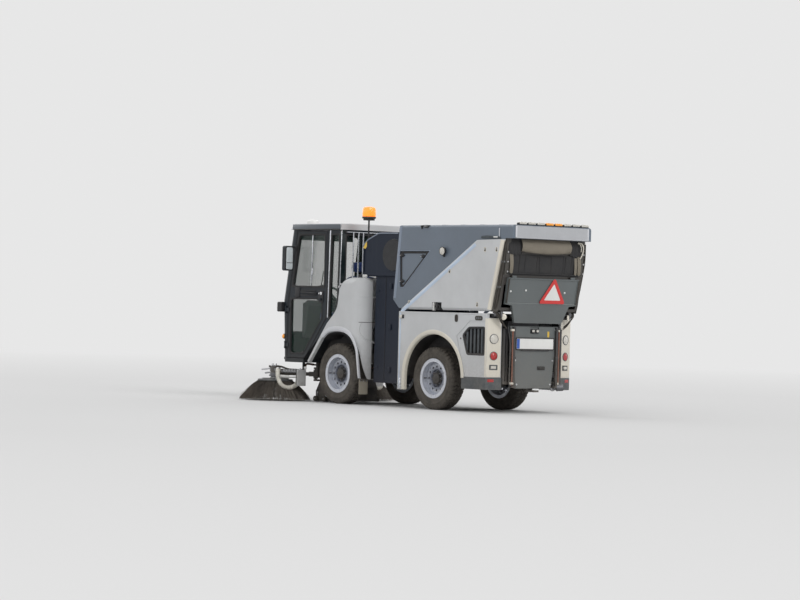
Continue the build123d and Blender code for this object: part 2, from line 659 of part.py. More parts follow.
for side in (1, -1):
    hanger_y = (side * rail_inner, side * (rail_inner + 30))
    front_shape += box(front_axle_x + 470, front_axle_x + 510, *hanger_y, mouth_top, rail_low)
    front_shape += box(front_axle_x + 20, front_axle_x + 60, side * rail_inner, side * rail_outer, rail_low, cab_rear_floor)
    front_shape += box(front_axle_x - 225, front_axle_x - 195, side * 175, side * rail_outer, rail_low, tank_bottom)
    front_shape += box(front_axle_x - 225, front_axle_x - 195, side * 175, side * 260, tank_bottom - 25, tank_bottom)
for side in (1, -1):
    y = side * arm_pivot_y
    for low in (bracket_low - 26, bracket_high + 6):
        front_shape += box(beam_x - 60, beam_x, y - 25, y + 25, low, low + 20)
        front_shape += upright(beam_x, y, low, low + 20, 25)
    front_shape += upright(beam_x, y, bracket_low - 26, bracket_high + 26, arm_pin_radius)
tow_front = box(beam_x - 60, front_axle_x + tow_front_x, -35, 35, tow_front_z, tow_front_z + tow_wall)
tow_front += upright(front_axle_x + tow_front_x, 0, tow_front_z, tow_front_z + tow_wall, 35)
tow_front -= upright(front_axle_x + tow_front_x, 0, 0, 500, tow_hole_radius)
front_shape += tow_front
save("front_frame", front_shape - front_rails)

# Cab: a lofted form whose sections are a straight back, two sides and a bowed front
cab_rows = [
    # height, half width, front corner x, nose x
    (cab_floor, cab_half, 970.0, 1050.0),
    (cab_waist, cab_half, 1005.0, 1105.0),
    (cab_top, cab_half_top, 885.0, 965.0),
]


def cab_section(z, half, corner, nose, inset):
    """Plan outline of the cab at one height, drawn in by an inset."""
    rear = front_axle_x + cab_rear + inset
    side = half - inset
    corner = front_axle_x + corner - inset
    nose = front_axle_x + nose - inset
    left = Line((rear, side, z), (corner, side, z))
    front = ThreePointArc((corner, side, z), (nose, 0, z), (corner, -side, z))
    right = Line((corner, -side, z), (rear, -side, z))
    back = Line((rear, -side, z), (rear, side, z))
    face = make_face([left, front, right, back])
    tips = face.vertices().sort_by(Axis.X)[-2:]
    return fillet(tips, cab_corner_radius - inset)


def cab_form(inset, rows):
    """Closed cab form between the first and last rows."""
    return loft([cab_section(*row, inset) for row in rows], ruled=True)


cab_under = shifted([(0, cab_top + 1), (0, cab_rear_floor), (235, cab_rear_floor), (290, 770),
                     (610, cab_floor + 45), (610, cab_floor - 1), (1200, cab_floor - 1), (1200, cab_top + 1)],
                    front_axle_x)
cab_inner_under = shifted([(0, cab_top + 1), (0, 895), (255, 895), (325, 800), (645, cab_floor + 90),
                           (645, cab_floor + 45), (1200, cab_floor + 45), (1200, cab_top + 1)], front_axle_x)
cab_outer = cab_form(0, cab_rows) & side_prism(cab_under, -600, 600)
cab_inner = cab_form(cab_wall, cab_rows) & side_prism(cab_inner_under, -600, 600)
cab_skin = cab_outer - cab_inner
door_high = cab_top - 8
window_high = cab_top - 48
door_low = cab_floor + 45
door_outline = shifted([(250, door_high), (795, door_high), (915, cab_waist), (915, door_low), (590, door_low),
                        (338, cab_waist - 326), (222, cab_waist - 181), (222, cab_waist + 90)], front_axle_x)
door_inner_y = cab_half_top - cab_wall - 1
door_outer_y = cab_half + 60
door_opening = side_prism(door_outline, door_inner_y, door_outer_y)
cab_shell = cab_skin - door_opening - other_side(door_opening)
screen_top_half = cab_half_top - screen_margin
screen_low_half = cab_half - screen_margin
screen_low = cab_waist - 350
screen_outline = [(-screen_top_half, window_high), (screen_top_half, window_high), (screen_low_half, cab_waist),
                  (screen_low_half, screen_low), (-screen_low_half, screen_low), (-screen_low_half, cab_waist)]
cab_shell -= rear_prism(screen_outline, front_axle_x + 700, front_axle_x + 1300)
rear_window_half = cab_half - rear_window_margin
rear_window_low = cab_waist + 70
rear_window = [(-rear_window_half, rear_window_low), (rear_window_half, rear_window_low),
               (rear_window_half, window_high), (-rear_window_half, window_high)]
cab_shell -= rear_prism(rear_window, front_axle_x - 100, front_axle_x + 200)
quarter_front = 222 - cab_post
quarter_rear = cab_rear + cab_post
quarter_low = cab_rear_floor + 80
quarter_outline = shifted([(quarter_rear, window_high), (quarter_front, window_high), (quarter_front, quarter_low),
                           (quarter_rear, quarter_low)], front_axle_x)
quarter_cut = side_prism(quarter_outline, door_inner_y, door_outer_y)
cab_shell -= quarter_cut
cab_shell -= other_side(quarter_cut)
door_hinge_y = cab_half + 11
cab_hinge_x = front_axle_x + 934
hinge_rows = [620.0, 1010.0]
for z in hinge_rows:
    for side in (1, -1):
        y = side * door_hinge_y
        cab_shell += upright(cab_hinge_x, y, z - 40, z + 40, 5)
        for low in (z - 40, z + 20.5):
            cab_shell += box(cab_hinge_x - 6, cab_hinge_x + 10, y - side * 24, y + side * 6, low, low + 19.5)
splash_x = front_axle_x + 640
splash_top = 350.0
splash_inner_y = cab_half - 45
for side in (1, -1):
    stem_y = side * (splash_inner_y + 5), side * (splash_inner_y + 35)
    cab_shell += box(splash_x - 12, splash_x, *stem_y, splash_top - 60, cab_floor + 5)
save("cab_shell", cab_shell)
splash_plate = box(splash_x - 24, splash_x - 12, splash_inner_y, splash_inner_y + 120, 170, splash_top)
splash_plate = fillet(splash_plate.edges().filter_by(Axis.X), 8)
save("splash_plates", *both(splash_plate))

roof_rows = [
    (cab_top, cab_half_top + roof_overhang, 900.0, 985.0),
    (cab_top + roof_thickness, cab_half_top - 4, 876.0, 955.0),
]
roof = loft([cab_section(*row, -roof_overhang * (1 - i)) for i, row in enumerate(roof_rows)], ruled=True)
roof = fillet(roof.faces().sort_by(Axis.Z)[-1].outer_wire().edges(), 14)
save("cab_roof", roof)

glass_shell = cab_form(glass_inset, cab_rows) - cab_form(glass_inset + glass_wall, cab_rows)
windscreen = glass_shell & rear_prism([(y * 0.9994, z) for y, z in screen_outline], front_axle_x + 700, front_axle_x + 1300)
rear_pane = glass_shell & rear_prism(rear_window, front_axle_x - 100, front_axle_x + 200)
quarter_pane = glass_shell & quarter_cut
save("cab_glass", windscreen, rear_pane, *both(quarter_pane))

# Cab doors: a frame with two panes, a mid bar and a mirror on its front edge
door_face_inner = offset(side_face(door_outline, door_inner_y), amount=-door_gap)
door_prism = extrude(door_face_inner, amount=door_outer_y - door_inner_y, dir=(0, 1, 0))
sill_high = cab_waist + 155
sill_low = cab_waist + 32
pane_low = door_low + 50
upper_window = shifted([(290, window_high), (760, window_high), (852, sill_high), (275, sill_high), (275, sill_high + 90)],
                       front_axle_x)
lower_window = shifted([(300, sill_low), (868, sill_low), (868, pane_low), (620, pane_low), (385, sill_low - 322),
                        (300, sill_low - 217)], front_axle_x)
door_frame = cab_skin & door_prism
upper_cut = side_prism(upper_window, door_inner_y, door_outer_y)
lower_cut = side_prism(lower_window, door_inner_y, door_outer_y)
pane_upper = glass_shell & upper_cut
pane_lower = glass_shell & lower_cut
door_frame -= upper_cut
door_frame -= lower_cut
for z in hinge_rows:
    knuckle = upright(cab_hinge_x, door_hinge_y, z - 20, z + 20, 9)
    knuckle += box(cab_hinge_x - 60, cab_hinge_x, cab_half + 4, door_hinge_y + 2, z - 20, z + 20)
    knuckle += box(cab_hinge_x - 60, cab_hinge_x - 34, cab_half - 12, cab_half + 4, z - 20, z + 20)
    knuckle -= upright(cab_hinge_x, door_hinge_y, 0, 2000, 5 + running_clearance)
    door_frame += knuckle
handle = box(front_axle_x + 305, front_axle_x + 345, cab_half - 10, cab_half + 26, cab_waist + 10, cab_waist + 35)
mirror_x = front_axle_x + 760
mirror_y = cab_half + mirror_reach
mirror_arm_z = mirror_high - 10
mirror_arm = bar((mirror_x + 35, cab_half_top - 10, mirror_arm_z), (mirror_x + 35, mirror_y + mirror_width / 2, mirror_arm_z), 9)
mirror_head = box(mirror_x, mirror_x + 50, mirror_y, mirror_y + mirror_width, mirror_low, mirror_high)
mirror_head = fillet(mirror_head.edges().filter_by(Axis.X), 22)
door_frame += handle + mirror_arm + mirror_head
save("left_door_frame", door_frame)
save("right_door_frame", other_side(door_frame))
save("left_door_glass", pane_upper, pane_lower)
save("right_door_glass", *[other_side(pane) for pane in (pane_upper, pane_lower)])

# Fenders: a side tank behind the cab that runs forward over the wheel
fender_curve = shifted([(-215, fender_top), (-130, 1347), (-58, 1268), (-30, 1160), (-8, 1050), (58, 965), (150, 880),
                        (262, 742)], front_axle_x)
fender_foot = shifted([(262, 742), (485, 450), (460, 436), (232, 720), (0, 720), (-300, 280), (fender_rear, 280),
                       (fender_rear, fender_top - fender_round)], front_axle_x)
round_reach = fender_round * (1 - math.sqrt(0.5))
round_corner = shifted([(fender_rear, fender_top - fender_round), (fender_rear + round_reach, fender_top - round_reach),
                        (fender_rear + fender_round, fender_top)], front_axle_x)


def fender_plate(y0, y1):
    """Side shape of the fender between two distances from the middle."""
    front = Spline(*[(x, y0, z) for x, z in fender_curve], tangents=[(1, 0, 0), (0.63, 0, -0.78)])
    foot = Polyline(*[(x, y0, z) for x, z in fender_foot])
    corner = ThreePointArc(*[(x, y0, z) for x, z in round_corner])
    top = Line((front_axle_x + fender_rear + fender_round, y0, fender_top), (front_axle_x - 215, y0, fender_top))
    return extrude(make_face([front, foot, corner, top]), amount=y1 - y0, dir=(0, 1, 0))


fender = fender_plate(cab_half + 5, fender_half)
tank = fender_plate(fender_inner, cab_half + 5)
tank &= box(front_axle_x + fender_rear, front_axle_x - 12, fender_inner, cab_half + 5, tank_bottom, fender_top)
top_band = side_prism(shifted([(fender_rear, 280), (fender_rear, 842), (205, 842), (205, 700), (-300, 700),
                               (-300, 280)], front_axle_x), 330, cab_half + 5)
fender += tank + top_band
fender_arch = shifted([(-412, 240), (-395, 333), (-370, 482), (-336, 631), (-234, 752), (-79, 797), (119, 785), (232, 720)],
                      front_axle_x)
fender_below = shifted([(232, 720), (470, 426), (470, 100), (-412, 100), (-412, 240)], front_axle_x)
arch_curve = Spline(*[(x, fender_inner, z) for x, z in fender_arch])
arch_rest = Polyline(*[(x, fender_inner, z) for x, z in fender_below])
arch_cut = extrude(make_face([arch_curve, arch_rest]), amount=500, dir=(0, 1, 0))
fender -= arch_cut
corner_x = front_axle_x + fender_rear + fender_corner
corner_y = fender_half - fender_corner
corner_arc = ThreePointArc(
    (corner_x, fender_half, 0), (corner_x - fender_corner * math.sqrt(0.5), corner_y + fender_corner * math.sqrt(0.5), 0),
    (corner_x - fender_corner, corner_y, 0))
corner_lines = Polyline((corner_x - fender_corner, corner_y, 0), (corner_x - fender_corner, 100, 0),
                        (front_axle_x + 700, 100, 0), (front_axle_x + 700, fender_half, 0), (corner_x, fender_half, 0))
fender &= extrude(make_face([corner_arc, corner_lines]), amount=2000, dir=(0, 0, 1))
dome_y = fender_half - fender_dome
dome_z = fender_top - fender_dome
dome_arc = ThreePointArc((front_axle_x - 500, fender_half, dome_z),
                         (front_axle_x - 500, dome_y + fender_dome * math.sqrt(0.5), dome_z + fender_dome * math.sqrt(0.5)),
                         (front_axle_x - 500, dome_y, fender_top))
dome_lines = Polyline(*[(front_axle_x - 500, y, z) for y, z in
                        ((dome_y, fender_top), (100, fender_top), (100, 0), (fender_half, 0), (fender_half, dome_z))])
fender &= extrude(make_face([dome_arc, dome_lines]), amount=1200, dir=(1, 0, 0))
fender -= upright(pivot_x, 0, 0, 2000, swing_radius)
save("fenders", *both(fender))

flap_x = front_axle_x - 385
mudflap = box(flap_x, flap_x + 6, 440, 560, 116, 280)
save("mudflaps", *both(mudflap))

# Cab inside: seat, dashboard and steering column
floor_top = cab_floor + 45
seat_top = 880 + fit_gap
back_x = 405 - fit_gap
seat_back = side_prism(shifted([(315, 900), (back_x, 900), (back_x, 1010), (350, 1560), (255, 1560)], front_axle_x), -220, 220)
cushion = side_prism(shifted([(405, seat_top), (405, 985), (800, 1000), (800, seat_top)], front_axle_x), -230, 230)
save("seat", cushion, seat_back)
pedestal = plan_prism([(front_axle_x + 480, -170), (front_axle_x + 760, -170), (front_axle_x + 760, 170),
                       (front_axle_x + 480, 170)], floor_top, 880)
pedestal = (pedestal - cab_skin).solids().sort_by(Axis.Z)[-1]
pedestal &= side_prism(shifted([(480, 880), (860, 880), (860, 400), (480, 400)],
                               front_axle_x), -200, 200)
dash = side_prism(shifted([(900, 700), (955, 700), (955, 1080), (870, 1120), (850, 1060)], front_axle_x), -300, 300)
column = bar((front_axle_x + 915, 0, floor_top), (front_axle_x + 915, 0, 720), 36)
stalk = bar((front_axle_x + 900, 0, 1080), (front_axle_x + 820, 0, 1190), 20)
wheel_plane = Plane(origin=(front_axle_x + 820, 0, 1190), z_dir=(-0.59, 0, 0.81))
steering_wheel = wheel_plane * Torus(165, 13)
spokes = wheel_plane * Box(330, 26, 14)
save("dashboard", dash + column + stalk + steering_wheel + spokes)
save("seat_pedestal", pedestal)

# Head lamp pods on the cab's front corners
pod = box(front_axle_x + 985, front_axle_x + 1060, cab_half - 45, cab_half + 35, 985, 1095)
pod = fillet(pod.edges().filter_by(Axis.X), 16) - cab_form(-fit_gap, cab_rows)
save("head_lamps", *both(pod.solids().sort_by(SortBy.VOLUME)[-1]))

# Suction mouth between the front wheels and the brooms, with its pipe
mouth = side_prism(shifted([(400, 12), (620, 12), (620, 120), (540, mouth_top), (440, mouth_top), (400, 160)], front_axle_x),
                   -350, 350)
mouth -= side_prism(shifted([(414, 0), (606, 0), (606, 114), (530, mouth_top - 14), (450, mouth_top - 14), (414, 150)], front_axle_x),
                    -338, 338)
pipe = bar((front_axle_x + 490, 0, 220), (front_axle_x + 330, 0, 470), 90)
pipe += Pos(front_axle_x + 330, 0, 470) * Sphere(90)
pipe += bar((front_axle_x + 330, 0, 470), (front_axle_x - 90, 0, 640), 90)
pipe_bore = bar((front_axle_x + 500, 0, 204), (front_axle_x + 330, 0, 470), 84)
pipe_bore += Pos(front_axle_x + 330, 0, 470) * Sphere(84)
pipe_bore += bar((front_axle_x + 330, 0, 470), (front_axle_x - 95, 0, 642), 84)
mouth = mouth + pipe - pipe_bore
save("suction_mouth", mouth)

# Brooms: swing bracket, lift arm and brush on each side
arm_dx = brush_x - arm_pivot_x
arm_dy = brush_y - arm_pivot_y
arm_length = math.hypot(arm_dx, arm_dy)
arm_turn = math.degrees(math.atan2(arm_dy, arm_dx))
lift_pin_x = 60.0
arm_z = 300.0
motor_low = 262.0


def broom_frame(shape):
    """Turn a shape drawn along X from the swing pin to the left broom's place."""
    return Pos(beam_x, arm_pivot_y, 0) * Rot(0, 0, arm_turn) * shape


bracket = upright(0, 0, bracket_low, bracket_high, 25)
bracket += box(0, lift_pin_x - 34, -22, 22, bracket_low + 10, bracket_high - 10)
for side in (1, -1):
    cheek = box(lift_pin_x - 40, lift_pin_x + 16, side * 14, side * 24, arm_z - 26, arm_z + 26)
    bracket += cheek
bracket += across(lift_pin_x, arm_z, -24, 24, 8)
bracket -= upright(0, 0, 0, 500, arm_pin_radius + running_clearance)
arm = box(lift_pin_x, arm_length - 30, -13.5, 13.5, arm_z - 20, arm_z + 20)
arm += across(lift_pin_x, arm_z, -13.5, 13.5, 20)
arm -= across(lift_pin_x, arm_z, -50, 50, 8 + running_clearance)
arm += upright(arm_length, 0, motor_low, arm_z + 80, 55)
arm -= upright(arm_length, 0, 0, motor_low + 40, 14 + running_clearance)
brush = upright(arm_length, 0, brush_disc_low, brush_disc_high, brush_disc_radius)
brush += upright(arm_length, 0, brush_disc_high, motor_low + 35, 14)
bristle_outer = Polyline((brush_disc_radius - 70, 0, brush_disc_low), (brush_disc_radius, 0, brush_disc_low),
                         (brush_radius, 0, brush_ground_gap), (brush_radius - 120, 0, brush_ground_gap), close=True)
bristles = revolve(make_face(bristle_outer), Axis.Z)
brush += Pos(arm_length, 0, 0) * bristles
for name, shape in (("bracket", bracket), ("broom_arm", arm), ("brush", brush)):
    placed = broom_frame(shape)
    save(f"left_{name}", placed)
    save(f"right_{name}", other_side(placed))

print("length", round(wheelbase + hopper_rear + brush_x + brush_radius), "pivot", pivot_x)
print("lift length", round(lift_length), "lift angle", round(math.degrees(lift_angle), 1))
print("arm turn", round(arm_turn, 1), "arm length", round(arm_length))
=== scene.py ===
import math
import bmesh
import bpy
import numpy as np
from mathutils import Matrix, Vector


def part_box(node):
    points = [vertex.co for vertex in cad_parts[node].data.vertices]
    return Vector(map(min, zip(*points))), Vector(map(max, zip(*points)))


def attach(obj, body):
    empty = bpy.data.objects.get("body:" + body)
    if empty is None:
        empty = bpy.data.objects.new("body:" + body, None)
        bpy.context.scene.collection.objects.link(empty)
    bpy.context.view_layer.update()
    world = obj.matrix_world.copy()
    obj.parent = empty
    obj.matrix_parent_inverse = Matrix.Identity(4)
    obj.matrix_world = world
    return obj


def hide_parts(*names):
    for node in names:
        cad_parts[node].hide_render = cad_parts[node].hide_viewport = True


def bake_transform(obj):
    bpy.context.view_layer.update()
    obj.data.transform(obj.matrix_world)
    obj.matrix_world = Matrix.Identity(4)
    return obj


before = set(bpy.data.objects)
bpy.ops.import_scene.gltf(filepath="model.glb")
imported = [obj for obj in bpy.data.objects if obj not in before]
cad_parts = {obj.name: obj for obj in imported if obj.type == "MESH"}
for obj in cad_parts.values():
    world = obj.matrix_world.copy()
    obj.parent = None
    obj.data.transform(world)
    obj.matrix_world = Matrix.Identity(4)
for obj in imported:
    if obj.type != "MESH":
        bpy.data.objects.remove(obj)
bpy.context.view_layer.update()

# Compact articulated street sweeper: light body panels, dark cab and hopper, brooms in front, tipping hopper behind
print("frame loaded,", len(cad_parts), "nodes")
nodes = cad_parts


def middle(node):
    low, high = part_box(node)
    return (np.array(low) + np.array(high)) / 2


def gridFaces(rows, columns, closeRows=False, closeColumns=False):
    # Quads between neighbouring rows and columns of places that are numbered row by row
    r, c = np.meshgrid(np.arange(rows if closeRows else rows - 1),
                       np.arange(columns if closeColumns else columns - 1), indexing="ij")
    nextR, nextC = (r + 1) % rows, (c + 1) % columns
    return np.stack([r * columns + c, r * columns + nextC, nextR * columns + nextC, nextR * columns + c],
        -1).reshape(-1, 4)


def surface(places, closeRows=False, closeColumns=False, caps=False):
    # places[row, column] is a grid of points; caps closes the first and the last row with one face each
    rows, columns = places.shape[:2]
    faces = gridFaces(rows, columns, closeRows, closeColumns).tolist()
    if caps:
        faces.append(list(range(columns))[::-1])
        faces.append(list(range((rows - 1) * columns, rows * columns)))
    return places.reshape(-1, 3), faces


def together(shapes):
    points, faces, start = [], [], 0
    for places, quads in shapes:
        points.append(places)
        faces += [[i + start for i in face] for face in quads]
        start += len(places)
    return np.concatenate(points), faces


def mirrored(shape):
    places, faces = shape
    return places * (1, -1, 1), [face[::-1] for face in faces]


def listed(shapes):
    return shapes if isinstance(shapes, list) else [shapes]


def eachSide(shapes):
    # Each shape followed by its mirrored twin
    return [one for shape in listed(shapes) for one in (shape, mirrored(shape))]


def onSide(shapes, side):
    # Shapes drawn for the left side (1), or the same on the right side (-1)
    return [shape if side > 0 else mirrored(shape) for shape in listed(shapes)]


def corners(node):
    return (np.array(corner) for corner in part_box(node))


def unit(vectors):
    vectors = np.asarray(vectors, float)
    return vectors / np.maximum(np.linalg.norm(vectors, axis=-1, keepdims=True), 1e-12)


def acrossAxes(axis):
    # Two unit directions at right angles to an axis and to each other
    axis = unit(axis)
    side = unit(np.cross(axis, (0, 0, 1) if abs(axis[2]) < 0.9 else (1, 0, 0)))
    return side, np.cross(axis, side)


def lathe(profile, centre=(0, 0, 0), axis=(0, 0, 1), steps=32, closed=False):
    # Each (radius, height) of the profile goes round the axis: centre + axis * height + radius * (cos a, sin a)
    profile = np.asarray(profile, float)
    side, up = acrossAxes(axis)
    angle = np.linspace(0, 2 * np.pi, steps, endpoint=False)
    ring = np.cos(angle)[:, None] * side + np.sin(angle)[:, None] * up
    places = (np.array(centre) + profile[:, 1, None, None] * unit(axis) + profile[:, 0, None, None] * ring[None])
    return surface(places, closeRows=closed, closeColumns=True, caps=not closed)


def rod(start, end, radius, steps=10, bevel=0.15):
    # Round bar from start to end with a small bevel at both ends
    start, end = np.array(start, float), np.array(end, float)
    length = np.linalg.norm(end - start)
    edge = min(radius * bevel, length * 0.3)
    return lathe([(radius - edge, 0), (radius, edge), (radius, length - edge), (radius - edge, length)],
                 start, end - start, steps)


def smoothPath(corners, perRun=8):
    # Catmull-Rom curve through the corners, perRun places on each run
    corners = np.asarray(corners, float)
    padded = np.concatenate([2 * corners[:1] - corners[1:2], corners, 2 * corners[-1:] - corners[-2:-1]])
    t = np.linspace(0, 1, perRun, endpoint=False)[None, :, None]
    a, b, c, d = (padded[i:len(padded) - 3 + i, None, :] for i in range(4))
    runs = 0.5 * (2 * b + (c - a) * t + (2 * a - 5 * b + 4 * c - d) * t ** 2 + (3 * b - a - 3 * c + d) * t ** 3)
    return np.concatenate([runs.reshape(-1, corners.shape[1]), corners[-1:]])


def tube(path, radius, steps=10, ribs=0, ribDepth=0.0, closed=False):
    # Circle carried along a path; ribs adds waves along it: radius * (1 + depth * wave)
    path = np.asarray(path, float)
    tangent = unit(np.roll(path, -1, 0) - np.roll(path, 1, 0)) if closed else unit(np.gradient(path, axis=0))
    flat = np.linalg.svd(tangent - tangent.mean(0))[2][-1]
    if abs(tangent @ flat).max() > 0.9:
        flat = acrossAxes(tangent.mean(0))[0]
    side = unit(np.cross(tangent, flat))
    up = np.cross(side, tangent)
    angle = np.linspace(0, 2 * np.pi, steps, endpoint=False)
    swell = radius * (1 + ribDepth * np.cos(np.linspace(0, 2 * np.pi * ribs, len(path))))
    places = path[:, None] + swell[:, None, None] * (np.cos(angle)[None, :, None] * side[:, None]
                                                     + np.sin(angle)[None, :, None] * up[:, None])
    return surface(places, closeRows=closed, closeColumns=True, caps=not closed)


def pipe(corners, radius, steps=10, perRun=8):
    return tube(smoothPath(corners, perRun), radius, steps)


def roundLoop(corners, radius, steps=5):
    # Each corner of a flat outline becomes a short curve: (1-t)^2 A + 2t(1-t) C + t^2 B
    corners = np.asarray(corners, float)
    before, after = np.roll(corners, 1, 0) - corners, np.roll(corners, -1, 0) - corners
    reach = np.minimum(radius, 0.49 * np.minimum(np.linalg.norm(before, axis=1), np.linalg.norm(after, axis=1)))[:,
        None]
    a, b = corners + unit(before) * reach, corners + unit(after) * reach
    t = np.linspace(0, 1, steps)[None, :, None]
    return ((1 - t) ** 2 * a[:, None] + 2 * t * (1 - t) * corners[:, None] + t ** 2 * b[:, None]).reshape(-1, 2)


def inset(loop, amount):
    # Flat outline moved inwards along the mean of its neighbouring edges' normals
    edge = unit(np.roll(loop, -1, 0) - np.roll(loop, 1, 0))
    area = np.sum(loop[:, 0] * np.roll(loop[:, 1], -1) - np.roll(loop[:, 0], -1) * loop[:, 1])
    return loop + np.stack([-edge[:, 1], edge[:, 0]], 1) * amount * (1 if area > 0 else -1)


def slab(loop, low, high, axis="y", bevel=0.002):
    # Outline carried along an axis in four rings, drawn in by the bevel at both ends
    heights = [low, low + bevel, high - bevel, high]
    loops = [inset(loop, bevel), loop, loop, inset(loop, bevel)]
    rings = [np.insert(one, {"x": 0, "y": 1, "z": 2}[axis], height, axis=1) for one, height in zip(loops, heights)]
    return surface(np.stack(rings), closeColumns=True, caps=True)


def frameSlab(outer, inner, low, high, axis="y", bevel=0.002):
    # Flat ring between two outlines with the same number of places
    order = {"x": 0, "y": 1, "z": 2}[axis]
    rows = [(outer, low + bevel), (outer, high - bevel), (inset(outer, bevel), high), (inset(inner, -bevel), high),
            (inner, high - bevel), (inner, low + bevel), (inset(inner, -bevel), low), (inset(outer, bevel), low)]
    return surface(np.stack([np.insert(one, order, height, axis=1) for one, height in rows]),
                   closeRows=True, closeColumns=True)


def softBox(low, high, radius, steps=3):
    # Box with round edges: centre + (half size - radius) * sign(d) + radius * d over all directions d
    low, high = np.array(low, float), np.array(high, float)
    half = (high - low) / 2
    radius = min(radius, half.min() * 0.99)
    quarter = np.linspace(0, np.pi / 2, steps)
    around = np.concatenate([quarter + i * np.pi / 2 for i in range(4)])
    signX, signY = np.repeat([1, -1, -1, 1], steps), np.repeat([1, 1, -1, -1], steps)
    rise = np.concatenate([quarter - np.pi / 2, quarter])
    signZ = np.repeat([-1, 1], steps)
    x = np.cos(rise)[:, None] * np.cos(around) * radius + signX * (half[0] - radius)
    y = np.cos(rise)[:, None] * np.sin(around) * radius + signY * (half[1] - radius)
    z = (np.sin(rise) * radius + signZ * (half[2] - radius))[:, None] + 0 * x
    return surface(np.stack([x, y, z], -1) + (low + high) / 2, closeColumns=True, caps=True)


def bolts(places, axis, radius=0.008, height=0.006):
    # Hexagon head on a round washer at each place
    heads = []
    for place in places:
        heads.append(lathe([(radius * 1.5, -0.001), (radius * 1.5, height * 0.25), (radius * 1.3, height * 0.3)],
                           place, axis, 16))
        heads.append(lathe([(radius, 0), (radius, height * 0.85), (radius * 0.8, height)], place, axis, 6))
    return together(heads)


def piece(name, shapes, material, body, sharp=35):
    # One object from one or more shapes, doubles merged and faces turned outwards, riding on a body
    points, faces = together(listed(shapes))
    mesh = bpy.data.meshes.new(name)
    mesh.from_pydata(points.tolist(), [], faces)
    work = bmesh.new()
    work.from_mesh(mesh)
    bmesh.ops.remove_doubles(work, verts=work.verts, dist=1e-5)
    bmesh.ops.recalc_face_normals(work, faces=work.faces)
    work.to_mesh(mesh)
    work.free()
    mesh.polygons.foreach_set("use_smooth", [True] * len(mesh.polygons))
    mesh.set_sharp_from_angle(angle=math.radians(sharp))
    mesh.materials.append(material)
    thing = bpy.data.objects.new(name, mesh)
    bpy.context.scene.collection.objects.link(thing)
    if body:
        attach(thing, body)
    return thing


# Camera: direction, height and distance as on the photograph
cameraSet = {"turn": 49.78, "pitch": 0.181, "roll": 1.4855, "distance": 33.21, "height": 1.0416, "aside": -0.0258,
             "ahead": 0.276, "lens": 137.04}


def addCamera():
    turn, pitch, roll = (math.radians(cameraSet[k]) for k in ("turn", "pitch", "roll"))
    level = Vector((math.sin(turn), -math.cos(turn), 0))
    right = Vector((level.y, -level.x, 0))
    look = level * math.cos(pitch) + Vector((0, 0, math.sin(pitch)))
    up = right.cross(look)
    rolledRight = right * math.cos(roll) + up * math.sin(roll)
    rolledUp = up * math.cos(roll) - right * math.sin(roll)
    data = bpy.data.cameras.new("photoCamera")
    data.sensor_width = 36
    data.lens = cameraSet["lens"]
    data.clip_end = 400
    camera = bpy.data.objects.new("photoCamera", data)
    bpy.context.scene.collection.objects.link(camera)
    place = level * -cameraSet["distance"] + right * cameraSet["aside"] + Vector((cameraSet["ahead"],
            0, cameraSet["height"]))
    turnMatrix = Matrix((rolledRight, rolledUp, -look)).transposed()
    camera.matrix_world = Matrix.Translation(place) @ turnMatrix.to_4x4()
    bpy.context.scene.camera = camera


addCamera()
print("camera placed")

# Materials: every pattern reads Object coordinates in metres


def startMaterial(name, colour, roughness, metallic=0.0, **sockets):
    material = bpy.data.materials.new(name)
    material.use_nodes = True
    tree = material.node_tree
    shader = tree.nodes["Principled BSDF"]
    shader.inputs["Base Color"].default_value = (*colour[:3], 1)
    shader.inputs["Roughness"].default_value = roughness
    shader.inputs["Metallic"].default_value = metallic
    for socket, value in sockets.items():
        shader.inputs[socket.replace("_", " ")].default_value = value
    return material, tree, shader


def node(tree, kind, inputs=(), **settings):
    made = tree.nodes.new(kind)
    for key, value in settings.items():
        setattr(made, key, value)
    for key, value in dict(inputs).items():
        if isinstance(value, bpy.types.NodeSocket):
            tree.links.new(value, made.inputs[key])
        else:
            made.inputs[key].default_value = value
    return made


def objectPlace(tree):
    return node(tree, "ShaderNodeTexCoord").outputs["Object"]


def noise(tree, vector, scale, detail=4.0, rough=0.6, stretch=None):
    if stretch:
        vector = node(tree, "ShaderNodeMapping", {"Vector": vector, "Scale": stretch}).outputs[0]
    return node(tree, "ShaderNodeTexNoise",
        {"Vector": vector, "Scale": scale, "Detail": detail, "Roughness": rough}).outputs[0]


def ranged(tree, value, fromLow, fromHigh, toLow=0.0, toHigh=1.0):
    return node(tree, "ShaderNodeMapRange", {0: value, 1: fromLow, 2: fromHigh, 3: toLow, 4: toHigh}).outputs[0]


def maths(tree, kind, a, b=0.5):
    return node(tree, "ShaderNodeMath", {0: a, 1: b}, operation=kind).outputs[0]


def mixed(tree, factor, a, b):
    mix = node(tree, "ShaderNodeMix", data_type="RGBA")
    for index, value in ((0, factor), (6, a), (7, b)):
        if isinstance(value, bpy.types.NodeSocket):
            tree.links.new(value, mix.inputs[index])
        else:
            mix.inputs[index].default_value = value if index == 0 else (*value[:3], 1)
    return mix.outputs[2]


def addBump(tree, shader, height, distance=0.001, strength=0.5):
    bump = node(tree, "ShaderNodeBump", {"Height": height, "Distance": distance, "Strength": strength})
    tree.links.new(bump.outputs[0], shader.inputs["Normal"])


roadDust = (0.23, 0.2, 0.165)


